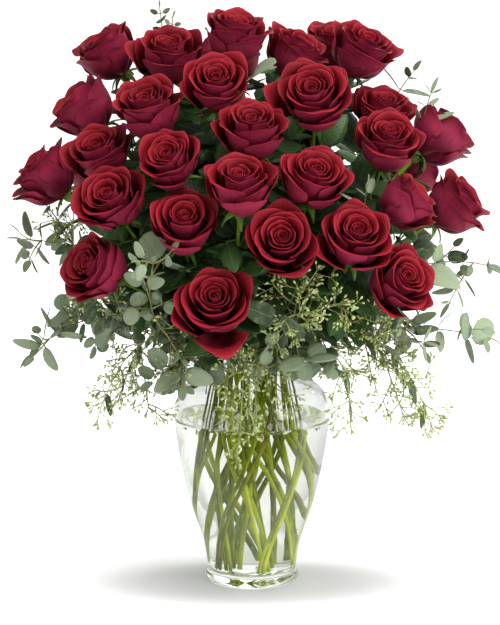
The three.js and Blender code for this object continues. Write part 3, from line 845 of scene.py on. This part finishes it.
# %% Hips and sepals under the blooms
hips, sepals = start_mesh(), start_mesh()
for number, bloom in enumerate(blooms):
    place = stand_at(bloom)
    ball = Matrix.Translation((0, 0, -2)) @ Matrix.Diagonal((6.2, 6.2, 7.5, 1))
    bmesh.ops.create_uvsphere(hips, u_segments=12, v_segments=8, radius=1, matrix=place @ ball)
    rng = random.Random(number)
    own = start_mesh()
    for k in range(5):
        turn = Matrix.Rotation(math.radians(k * 72 + rng.uniform(-12, 12)), 4, "Z")
        grid = bmesh.ops.create_grid(own, x_segments=4, y_segments=7, size=1, calc_uvs=True)["verts"]
        curl = rng.uniform(0.5, 1.9)
        for v in grid:
            u, t = v.co.x, (v.co.y + 1) / 2
            half = 4.6 * (1 - t) ** 0.7 * (0.75 + 0.5 * math.sin(math.pi * min(1, t * 1.6))) + 0.25
            bend = t * curl
            v.co = Vector((3 + 15 * math.sin(bend) / curl * 1.7, u * half,
                           1 - 17 * (1 - math.cos(bend)) / curl * 1.5 - 1.2 * u * u + 1.5))
        bmesh.ops.transform(own, matrix=place @ turn, verts=grid)
    pour(own, sepals)
finish_piece(hips, "rose_hips", [sepal_green], ["rose_stems"])
finish_piece(sepals, "rose_sepals", [sepal_green], ["rose_stems"], wall=0.5)
print("hips and sepals:", len(blooms))

# %% [markdown]
# ## Leaves
# Every leaf here is a thin blade with a midrib, whether it is the toothed leaflet of a
# rose, the coin shaped leaf of silver dollar eucalyptus or a narrow one. Each starts as
# a grid of a few faces. Its sides are drawn in to an outline, it is cupped across and
# bent down along its length, and a Solidify modifier gives it its thickness. The dome
# between the blooms is filled by leaves that grow from the stems: wherever two blooms are
# neighbours, each stem sends one leaf into the gap and a third lies deeper.

# %% One leaf
# Width over length, how pointed it is, how far its widest place sits towards the base.
LEAF_FORMS = {
    "coin": (1.0, 0.8, 0.12),
    "oval": (0.62, 0.9, 0.25),
    "lance": (0.27, 1.1, 0.2),
    "rose": (0.66, 1.05, 0.4),
}
HEART = 26


def among_petals(point):
    """Whether a point lies deep in a rose head, nearer to its middle than HEART at full size."""
    return any((point - bloom["middle"]).length < HEART * bloom["size"] for bloom in blooms)


def grow_leaf(bm, place, along, face, length, form, tone, cup=0.12, droop=0.15, teeth=0.0, cells=(4, 6)):
    """A blade from place, along and facing as told, left out if one of three points lies in a head."""
    ratio, pointed, low = LEAF_FORMS[form]
    forward = along.normalized()
    if any(among_petals(place + forward * length * share) for share in (0.4, 0.7, 1)):
        return
    side = forward.cross(face).normalized()
    up = side.cross(forward)
    layer = bm.verts.layers.float["tone"]
    grid = bmesh.ops.create_grid(bm, x_segments=cells[0], y_segments=cells[1], size=1, calc_uvs=True)
    for v in grid["verts"]:
        u, share = v.co.x, (v.co.y + 1) / 2
        spread = mix(0.04, 0.97, share)
        step = (1 - math.cos(math.pi * spread)) / 2
        half = length * ratio / 2 * math.sin(math.pi * spread) ** pointed * (1 + low * (1 - 2 * step))
        tooth = teeth if abs(u) > 0.9 and round(share * cells[1]) % 2 else 0
        rise = cup * half * u * u - droop * length * step * step
        v.co = (place + side * (u * half * (1 - tooth)) + up * rise
                + forward * length * (step - tooth * 0.25))
        v[layer] = tone


def scatter(rng, amount):
    """A small random vector."""
    return Vector([rng.uniform(-amount, amount) for _ in range(3)])


# %% A rose's compound leaf
def grow_leaflet(leaves, place, along, face, length, tone, rng):
    """A toothed leaflet whose sides and tip are bent down."""
    grow_leaf(leaves, place, along, face, length, "rose", tone,
              cup=-0.15, droop=rng.uniform(0.05, 0.25), teeth=0.1, cells=(4, 10))


def grow_rose_leaf(start, tip, face, rng, size):
    """A stalk from start with a pair of leaflets and one at its end, which reaches tip."""
    stalks, leaves = start_mesh(), start_mesh()
    way = tip - start
    forward = way.normalized()
    side = forward.cross(face).normalized()
    up = side.cross(forward)
    bow = [start, start + way * 0.4 + up * way.length * 0.12, tip - forward * size * 0.85]
    line = [bezier(bow, k / 5) for k in range(6)]
    swept_rod(stalks, line, [1.1, 1, 0.95, 0.9, 0.8, 0.6], 5)
    tone = rng.uniform(-1, 1)
    end = (line[-1] - line[-2]).normalized()
    grow_leaflet(leaves, line[-1], end + scatter(rng, 0.15), face + scatter(rng, 0.25), size, tone, rng)
    for hand in (-1, 1):
        stub = line[4] + side * hand * 3
        short_rod(stalks, line[4], stub, 0.6, 0.5)
        grow_leaflet(leaves, stub, side * hand + forward * 0.65 + scatter(rng, 0.15),
                     face + scatter(rng, 0.35), size * rng.uniform(0.72, 0.9), tone, rng)
    pour(stalks, rose_stalks)
    pour(leaves, rose_leaves)


rose_stalks, rose_leaves = start_mesh(), start_mesh()
print("leaf forms:", *LEAF_FORMS)

# %% Leaves in the gaps between the blooms
def stem_point(bloom, back):
    """The point of a bloom's stem that lies back millimetres under its hip."""
    points = bloom["stem"]
    for a, b in zip(points[::-1], points[-2::-1]):
        gap = (b - a).length
        if back <= gap:
            return a.lerp(b, back / gap)
        back -= gap
    return points[0]


# Heads this near are neighbours; behind, where the roses stand further apart, the gap is wider.
NEAR, NEAR_BEHIND = 118, 175
# How deep each of a gap's three leaves lies, and how far under its hip it leaves the stem.
FIRST_LEAF, SECOND_LEAF, DEEP_LEAF = (-20, -2), (-45, -25), (-80, -60)
BACK, DEEP_BACK = 48, 95

rng = random.Random(11)
count = 0
for i, one in enumerate(blooms):
    near = sorted(blooms[i + 1:], key=lambda other: (other["middle"] - one["middle"]).length)
    for other in near:
        gap = other["middle"] - one["middle"]
        behind = one["face"].y > 0.3 and other["face"].y > 0.3
        if gap.length > (NEAR_BEHIND if behind else NEAR) * (one["size"] + other["size"]) / 2:
            break
        out = (one["face"] + other["face"]).normalized()
        half = (one["middle"] + other["middle"]) / 2
        for giver, depth, back in (
                (one, rng.uniform(*FIRST_LEAF), BACK), (other, rng.uniform(*SECOND_LEAF), BACK),
                (one, rng.uniform(*DEEP_LEAF), DEEP_BACK)):
            tip = half + out * depth + scatter(rng, 9)
            grow_rose_leaf(stem_point(giver, back), tip, out, rng, rng.uniform(38, 50))
            count += 1
print("leaves in the gaps:", count)

# %% Leaves that hang between the lowest blooms and the lip
# No leaf is aimed lower than this, which keeps the rose leaves off the lip.
LOWEST_TIP = 272
for bloom in blooms:
    out = Vector((bloom["hip"].x, bloom["hip"].y, 0))
    if bloom["middle"].z > 470 or out.length < 40:
        continue
    out.normalize()
    for back, drop in ((30, -12), (58, -30), (86, -34)):
        start = stem_point(bloom, back)
        swing = UP.cross(out) * rng.uniform(-38, 38)
        tip = start + out * rng.uniform(24, 42) + swing + UP * (drop + rng.uniform(-14, 14))
        tip.z = max(tip.z, LOWEST_TIP)
        grow_rose_leaf(start, tip, (out + UP * 0.7).normalized(), rng, rng.uniform(34, 46))
        count += 1
print("rose leaves so far:", count)

# %% [markdown]
# ## Eucalyptus sprays
# Silver dollar eucalyptus carries coin shaped, chalky grey-green leaves in pairs, large
# near the middle of the twig and tiny at its tip. Each spray runs out of the water,
# through the neck, over the lip and then hangs, on the very route of its solid. Side
# twigs are grown from it by a rule, seeded so that they come out the same each time.
# Seeded eucalyptus carries fans of small green buds instead, with a narrow leaf here and
# there. Of a spray's foot only the 15 mm under the water's surface are drawn.

# %% Where the sprays run
# Turn round the neck, the point it arches over, its tip, and what it carries.
SPRAYS = {
    "eucalyptus_left_low": (-93, (-146, -18, 288), (-232, -20, 246), "mixed"),
    "eucalyptus_left": (-99, (-138, 28, 332), (-240, 0, 366), "narrow"),
    "eucalyptus_left_near": (-34, (-66, -84, 254), (-84, -104, 238), "coin"),
    "eucalyptus_right_near": (26, (40, -88, 262), (72, -106, 250), "coin"),
    "eucalyptus_right": (99, (150, 20, 326), (248, 0, 338), "airy"),
    "eucalyptus_right_low": (88, (150, -24, 276), (252, -12, 262), "airy"),
    "eucalyptus_front_left": (-59, (-92, -98, 290), (-94, -172, 366), "sparse"),
    "seeded_left": (-67, (-106, -58, 270), (-152, -66, 206), "seeds"),
    "seeded_front": (-4, (-7, -86, 256), (-12, -110, 180), "seeds"),
    "seeded_front_right": (5, (34, -106, 288), (48, -158, 322), "seeds"),
    "seeded_right_near": (58, (84, -76, 257), (98, -98, 203), "seeds"),
    "seeded_right": (65, (126, -62, 268), (184, -62, 182), "seeds"),
    "eucalyptus_back_left": (-125, (-112, 92, 286), (-168, 138, 250), "coin"),
    "eucalyptus_back": (-172, (-30, 114, 268), (-32, 180, 238), "coin"),
    "eucalyptus_back_right": (123, (112, 88, 288), (168, 136, 254), "coin"),
    "seeded_back_left": (-160, (-60, 90, 260), (-84, 132, 205), "seeds"),
    "seeded_back_right": (146, (52, 94, 262), (78, 136, 208), "seeds"),
}
# Radius and height of the places that every spray passes, and where it comes into leaf.
TWIG_FOOT, TWIG_NECK, TWIG_LIP = (57, 150), (40.3, 225), (46.5, 250.5)
DRAWN_IN_WATER = 15
BARE_FOOT = 100


def spray_route(turn, over, tip):
    """Foot, neck and lip in a straight run, then a bend over to the tip."""
    lip = around(turn, *TWIG_LIP)
    over, tip = Vector(over), Vector(tip)
    return route([around(turn, *TWIG_FOOT), around(turn, *TWIG_NECK), lip],
                 [lip, over * 2 - lip / 2 - tip / 2, tip], 12)


def stations(points, first, gap):
    """(place, way, share) at equal steps along a line, from first millimetres on."""
    total = sum((b - a).length for a, b in zip(points, points[1:]))
    gone, wanted, found = 0, first, []
    for a, b in zip(points, points[1:]):
        step = (b - a).length
        while wanted <= gone + step and wanted <= total:
            share = (wanted - first) / max(1, total - first)
            found.append((a.lerp(b, (wanted - gone) / step), (b - a).normalized(), share))
            wanted += gap
        gone += step
    return found


routes = {name: spray_route(*row[:3]) for name, row in SPRAYS.items()}
print("sprays:", len(routes))

# %% Leafy twigs
def leafy_twig(all_twigs, all_leaves, points, first, form, size, rng, gap=15.0, thick=1.1):
    """A twig with pairs of leaves from first millimetres on, which get smaller to its tip."""
    twigs, leaves = start_mesh(), start_mesh()
    count = len(points)
    swept_rod(twigs, points, [mix(thick, 0.5, k / (count - 1)) for k in range(count)], 6, rng.uniform(0, 0.6))
    tone = rng.uniform(-0.6, 0.6)
    turn = rng.uniform(0, 90)
    for place, way, share in stations(points, first, gap):
        outward = Vector((place.x, place.y, 40)).normalized()
        length = size * mix(1, 0.45, share ** 1.3) * rng.uniform(0.68, 1.1)
        turn += 75
        spin = Quaternion(way, math.radians(turn))
        for hand in (-1, 1):
            side = spin @ way.orthogonal().normalized() * hand
            along = side + way * rng.uniform(0.3, 0.7)
            base = place + side * 3
            short_rod(twigs, place, base, 0.5, 0.45)
            grow_leaf(leaves, base, along, outward + UP * 0.25 + scatter(rng, 0.75), length, form,
                      tone + rng.uniform(-0.8, 0.8), cup=rng.uniform(-0.1, 0.2), droop=rng.uniform(0.02, 0.2))
    end, way = points[-1], (points[-1] - points[-2]).normalized()
    grow_leaf(leaves, end, way + scatter(rng, 0.2), UP + scatter(rng, 0.6), size * 0.5, form, tone)
    pour(twigs, all_twigs)
    pour(leaves, all_leaves)


def bent_twig(start, way, side, length, drop):
    """Points of a side twig that leaves at an angle and then bows down."""
    out = (side * 0.75 + way * 0.65).normalized()
    pull = [start, start + out * length * 0.5, start + out * length * 0.9 + UP * drop]
    return [bezier(pull, k / 6) for k in range(7)]


def level_side(way, rng):
    """A direction square to way, mostly level."""
    return (way.cross(UP) + UP * rng.uniform(-0.5, 0.7)).normalized()


print("a side twig of 50 mm:", len(bent_twig(UP * 0, UP, facing(0, 0), 50, -10)), "points")

# %% Seeded twigs
# The buds are clubs about 5 mm long, three to six together on stalks that fan out.
def grow_umbel(twigs, buds, place, away, rng, count):
    """A fan of short stalks with a bud on each."""
    for _ in range(count):
        way = (away + scatter(rng, 0.85)).normalized()
        end = place + way * rng.uniform(4, 8)
        short_rod(twigs, place, end, 0.32, 0.42, 3)
        grow = rng.uniform(0.7, 1)
        bud = (Matrix.Translation(end + way * 2 * grow) @ UP.rotation_difference(way).to_matrix().to_4x4()
               @ Matrix.Diagonal((1.5 * grow, 1.5 * grow, 2.6 * grow, 1)))
        verts = bmesh.ops.create_uvsphere(buds, u_segments=6, v_segments=4, radius=1, matrix=bud)["verts"]
        layer = buds.verts.layers.float["tone"]
        tone = rng.uniform(-0.3, 0.8)
        for v in verts:
            reach = (v.co - end).dot(way) / (4.6 * grow)
            v.co -= (v.co - end - way * (v.co - end).dot(way)) * (1 - ease(reach, -0.2, 0.7)) * 0.55
            v[layer] = tone


def seeded_twig(all_twigs, all_buds, points, first, rng, gap=11.0, thick=1.0):
    """A pale twig that throws out stalks with umbels all round it."""
    twigs, buds = start_mesh(), start_mesh()
    count = len(points)
    swept_rod(twigs, points, [mix(thick, 0.6, k / (count - 1)) for k in range(count)], 6)
    turn = rng.uniform(0, 360)
    for place, way, _ in stations(points, first, gap):
        turn += GOLDEN_TURN
        side = Quaternion(way, math.radians(turn)) @ way.orthogonal().normalized()
        away = (side + way * 0.5 - UP * 0.15).normalized()
        end = place + away * rng.uniform(8, 17)
        short_rod(twigs, place, end, 0.65, 0.5, 3)
        grow_umbel(twigs, buds, end, away, rng, rng.randint(3, 6))
    grow_umbel(twigs, buds, points[-1], (points[-1] - points[-2]).normalized(), rng, 6)
    pour(twigs, all_twigs)
    pour(buds, all_buds)


print("buds stand at the ends of stalks of 4 to 8 mm")

# %% Grow every spray
# Leaf form, leaf size, and how far apart the pairs and the side twigs are.
LEAFY = {
    "coin": ("coin", 33, 19, 36), "mixed": ("oval", 34, 24, 46), "narrow": ("oval", 32, 22, 44),
    "sparse": ("oval", 23, 24, 70), "airy": ("coin", 31, 26, 60),
}

for number, (name, row) in enumerate(SPRAYS.items()):
    carries = row[-1]
    rng = random.Random(300 + number)
    points = [p for p in routes[name] if p.z > WATER_LEVEL - DRAWN_IN_WATER]
    twigs, growth, blades = start_mesh(), start_mesh(), start_mesh()
    first = BARE_FOOT - (points[0] - routes[name][0]).length
    if carries == "seeds":
        seeded_twig(twigs, growth, points, first + 12, rng)
        for place, way, share in stations(points, first, 31):
            for hand in (-1, 1):
                side = level_side(way, rng) * hand
                length = rng.uniform(32, 56) * mix(1, 0.45, share)
                twig = bent_twig(place, way, side, length, rng.uniform(-18, 8))
                seeded_twig(twigs, growth, twig, 10, rng, 11, 0.7)
            if abs(place.x) > 30:
                grow_leaf(blades, place, way * 0.4 + scatter(rng, 0.7) - UP * 0.7, UP + scatter(rng, 0.5),
                          rng.uniform(20, 30), "lance", rng.uniform(-1.2, -0.2), droop=0.3)
    else:
        form, size, gap, side_gap = LEAFY[carries]
        leafy_twig(twigs, blades, points, first, form, size, rng, gap)
        for place, way, share in stations(points, first, side_gap):
            for hand in (-1, 1):
                side = level_side(way, rng) * hand
                length = rng.uniform(40, 66) * mix(1, 0.45, share)
                twig = bent_twig(place, way, side, length, rng.uniform(-14, 12))
                kind = rng.choice([form, "coin", "oval"])
                leafy_twig(twigs, blades, twig, 14, kind, size * 0.9, rng, 16, 1)
    finish_piece(twigs, f"{name}_twigs", [seed_stalk if carries == "seeds" else twig_bark], [name])
    # A spray without buds or without leaves has no piece for them.
    for mesh, what, finish, wall in (
            (blades, "leaves", eucalyptus_leaf, 0.35), (growth, "buds", seed_bud, 0)):
        if mesh.verts:
            finish_piece(mesh, f"{name}_{what}", [finish], [name], wall=wall)
        else:
            mesh.free()
print("sprays grown:", len(SPRAYS))

# %% Sprigs tucked in among the blooms
# The tip, what grows on it, the size of its leaves, and how much of it is in leaf.
TUCKED = [
    ((-96, 34, 605), "oval", 14, 34), ((-82, 42, 599), "oval", 12, 22),
    ((10, -34, 541), "coin", 33, 12), ((186, 14, 518), "lance", 34, 30),
    ((168, 16, 540), "oval", 26, 24), ((112, -112, 431), "oval", 28, 20),
    ((-82, -114, 366), "coin", 33, 18), ((-112, -160, 366), "oval", 20, 30),
    ((168, -66, 372), "coin", 32, 30), ((46, -156, 338), "seeds", 0, 70),
    ((92, -150, 322), "seeds", 0, 70), ((-158, -70, 318), "seeds", 0, 60),
    ((130, -110, 300), "seeds", 0, 70), ((-190, -20, 386), "seeds", 0, 50),
    ((-104, -98, 208), "seeds", 0, 80), ((-136, -80, 210), "seeds", 0, 80),
    ((-66, -104, 250), "seeds", 0, 50), ((152, -96, 200), "seeds", 0, 80),
    ((120, -96, 240), "seeds", 0, 60), ((-30, -112, 236), "seeds", 0, 50),
    ((24, -112, 226), "seeds", 0, 50), ((-176, -50, 300), "lance", 38, 60),
    ((176, -60, 268), "lance", 38, 60), ((-218, 10, 404), "oval", 26, 40),
    ((206, -10, 300), "lance", 36, 50), ((22, -154, 308), "oval", 42, 10),
    ((186, -70, 350), "rose", 46, 16),
]
twigs, buds, blades = start_mesh(), start_mesh(), start_mesh()
rng = random.Random(77)
for tip, carries, size, leafy in TUCKED:
    tip = Vector(tip)
    carriers = [p for b in blooms for p in b["stem"] if p.z < tip.z - 30]
    carriers += [p for line in routes.values() for p in line if p.z > 262]
    nearest = min((p for p in carriers if (tip - p).length > 50), key=lambda p: (tip - p).length)
    way = tip - nearest
    points = [bezier([nearest, nearest + way * 0.5 + UP * way.length * 0.12, tip], k / 8) for k in range(9)]
    start = max(5, way.length - leafy)
    if carries == "seeds":
        seeded_twig(twigs, buds, points, start, rng, 9, 0.8)
        for place, way, _ in stations(points, start, 20):
            side = level_side(way, rng) * rng.choice((-1, 1))
            twig = bent_twig(place, way, side, rng.uniform(22, 36), rng.uniform(-6, 12))
            seeded_twig(twigs, buds, twig, 8, rng, 9, 0.7)
    else:
        leafy_twig(twigs, blades, points, start, carries, size, rng, 9 if size < 20 else 15, 1)
finish_piece(twigs, "tucked_sprig_twigs", [twig_bark], [])
finish_piece(blades, "tucked_sprig_leaves", [eucalyptus_leaf], [], wall=0.35)
finish_piece(buds, "tucked_sprig_buds", [seed_bud], [])
print("tucked sprigs:", len(TUCKED))

# %% Finish the rose foliage
finish_piece(rose_stalks, "rose_leaf_stalks", [sepal_green], ["rose_stems"])
finish_piece(rose_leaves, "rose_leaf_blades", [rose_leaf_above, rose_leaf_below], ["rose_stems"],
             wall=0.35, shift=1)

# %% [markdown]
# ## Camera, floor and light
# The photograph looks slightly down on the bouquet from far away, on a white sweep. The
# camera stands back the same way with a long lens. The floor is pale, with a painted shadow
# round the foot, the light is a broad lamp above and in front with two weaker ones at the side
# and behind, and the sky is white where the camera sees it and dimmer as light, so that the
# reds keep their depth.

# %% Camera
camera_data = bpy.data.cameras.new("studio_camera")
camera_data.lens = 106.9
camera = bpy.data.objects.new("studio_camera", camera_data)
camera.location = (-0.002, -1.92, 0.62)
camera.rotation_euler = (math.radians(80.2), 0, 0)
scene.collection.objects.link(camera)
scene.camera = camera
print("camera height:", camera.location.z)

# %% Floor
# It is painted greyer round the foot and in front of it, a painted shadow, and glows a little
# further out so that it looks white; the glow also fades towards the foot, which deepens
# the painted shadow. Where it is seen through the glass or mirrored in it, it is painted dark
# in front of the vase, which keeps a milky veil off the stems. It reaches the horizon, and
# its distances are in metres.
FLOOR_HALF = 400
SHADE_MOVED, SHADE_STRETCHED = (-0.006, 0.032, 0), (0.66, 1.5, 1)
SHADE_FROM, SHADE_TO = 0.045, 0.13
GLOW_FROM, GLOW_TO, GLOW = 0.08, 0.17, 0.42
FAR_FROM, FAR_TO, FAR_GLOW = 0.2, 1.1, 0.2
DARK_FROM, DARK_TO, DARK = -0.08, -0.3, 0.9

floor_bm = bmesh.new()
bmesh.ops.create_grid(floor_bm, x_segments=1, y_segments=1, size=FLOOR_HALF)
floor_mesh = bpy.data.meshes.new("floor")
floor_bm.to_mesh(floor_mesh)
floor_bm.free()
floor = bpy.data.objects.new("floor", floor_mesh)
floor_paint, tree, shader = new_material("matt_white_floor")
shader.inputs["Roughness"].default_value = 0.9
shader.inputs["Specular IOR Level"].default_value = 0.1
place = add(tree, "TexCoord").outputs["Object"]
wide = add(tree, "Mapping", Vector=place, Location=SHADE_MOVED, Scale=SHADE_STRETCHED).outputs["Vector"]
near = add(tree, "VectorMath", {"operation": "LENGTH"}, i0=wide).outputs["Value"]
far = add(tree, "VectorMath", {"operation": "LENGTH"}, i0=place).outputs["Value"]
grain = add(tree, "TexNoise", Vector=place, Scale=4).outputs["Fac"]
white = add(tree, "Mix", COLOUR, i0=grain, i6=linear("#f6f6f6"), i7=linear("#fbfbfb")).outputs[2]
# A painted shadow: the floor's colour turns grey near the foot, wider across than in depth.
away = add(tree, "MapRange", SOFT, i0=near, i1=SHADE_FROM, i2=SHADE_TO).outputs[0]
painted_shadow_colour = add(tree, "Mix", COLOUR, i0=away, i6=linear("#d4d4d4"), i7=white).outputs[2]
tree.links.new(painted_shadow_colour, shader.inputs["Base Color"])
# Near the foot the glow fades out, so that the painted shadow stays grey.
inner = add(tree, "MapRange", SOFT, i0=near, i1=GLOW_FROM, i2=GLOW_TO, i4=GLOW).outputs[0]
outer = add(tree, "MapRange", SOFT, i0=far, i1=FAR_FROM, i2=FAR_TO, i4=FAR_GLOW).outputs[0]
strength = add(tree, "Math", {"operation": "ADD"}, i0=inner, i1=outer).outputs[0]
glow = add(tree, "Emission", Color=(1, 1, 1, 1), Strength=strength).outputs[0]
lit = add(tree, "AddShader", i0=shader.outputs[0], i1=glow).outputs[0]
path = add(tree, "LightPath")
bounce = add(tree, "Math", {"operation": "MAXIMUM"}, i0=path.outputs["Is Diffuse Ray"],
             i1=path.outputs["Is Glossy Ray"]).outputs[0]
open_floor = add(tree, "MixShader", i0=bounce, i1=lit, i2=shader.outputs[0]).outputs[0]
depth = add(tree, "SeparateXYZ", Vector=place).outputs["Y"]
front = add(tree, "MapRange", SOFT, i0=depth, i1=DARK_FROM, i2=DARK_TO, i4=DARK).outputs[0]
in_glass = add(tree, "Math", {"operation": "MAXIMUM"}, i0=path.outputs["Is Transmission Ray"],
               i1=path.outputs["Is Glossy Ray"]).outputs[0]
dark = add(tree, "Math", {"operation": "MULTIPLY"}, i0=in_glass, i1=front).outputs[0]
black = add(tree, "Emission", Strength=0.0).outputs[0]
whole = add(tree, "MixShader", i0=dark, i1=open_floor, i2=black).outputs[0]
tree.links.new(whole, tree.nodes["Material Output"].inputs["Surface"])
floor_mesh.materials.append(floor_paint)
scene.collection.objects.link(floor)
print("floor is", round(floor.dimensions.x), "m wide")

# %% Lamps and sky
def soft_lamp(name, place, aim, size, power):
    """A square area lamp that points at aim."""
    lamp = bpy.data.lights.new(name, "AREA")
    lamp.shape, lamp.size, lamp.energy = "SQUARE", size, power
    body = bpy.data.objects.new(name, lamp)
    body.location = place
    body.rotation_euler = (Vector(aim) - Vector(place)).to_track_quat("-Z", "Y").to_euler()
    scene.collection.objects.link(body)


soft_lamp("key_lamp", (0.5, -1.15, 2.1), (0, 0, 0.4), 1.0, 26)
soft_lamp("fill_lamp", (1.6, -1.2, 0.9), (0, 0, 0.35), 1.2, 14)
soft_lamp("back_lamp", (0.4, 1.6, 1.6), (0, 0, 0.4), 1.4, 12)

sky = bpy.data.worlds.new("white_studio")
scene.world = sky
sky.use_nodes = True
tree = sky.node_tree
# White for the camera, dimmer as light, darker in reflections. Seen through the glass it
# is white behind and darker at the sides and overhead, which draws the vase's edges: each
# row says where that starts and ends, and how bright it is there.
AT_SIDES = (0.5, 0.92, 1.0, 0.62)
FROM_FRONT_TO_BACK = (-0.1, 0.35, 0.1, 1.0)
OVERHEAD = (0.3, 0.8, 1.0, 0.7)
SEEN, LIGHT, MIRRORED = 1.05, 0.66, 0.22

path = add(tree, "LightPath")
way = add(tree, "SeparateXYZ", Vector=add(tree, "TexCoord").outputs["Generated"])
sideways = add(tree, "Math", {"operation": "ABSOLUTE"}, i0=way.outputs["X"]).outputs[0]
bright = 1.0
for pattern, (start, end, before, after) in (
        (sideways, AT_SIDES), (way.outputs["Y"], FROM_FRONT_TO_BACK), (way.outputs["Z"], OVERHEAD)):
    share = add(tree, "MapRange", SOFT, i0=pattern, i1=start, i2=end, i3=before, i4=after).outputs[0]
    bright = add(tree, "Math", {"operation": "MULTIPLY"}, i0=bright, i1=share).outputs[0]
whole = None
for ray, strength in ((None, LIGHT), ("Is Glossy Ray", MIRRORED), ("Is Transmission Ray", bright),
                      ("Is Camera Ray", SEEN)):
    glow = add(tree, "Background", Color=(1, 1, 1, 1), Strength=strength).outputs[0]
    whole = add(tree, "MixShader", i0=path.outputs[ray], i1=whole, i2=glow).outputs[0] if ray else glow
tree.links.new(whole, tree.nodes["World Output"].inputs["Surface"])
scene.view_settings.view_transform = "Standard"
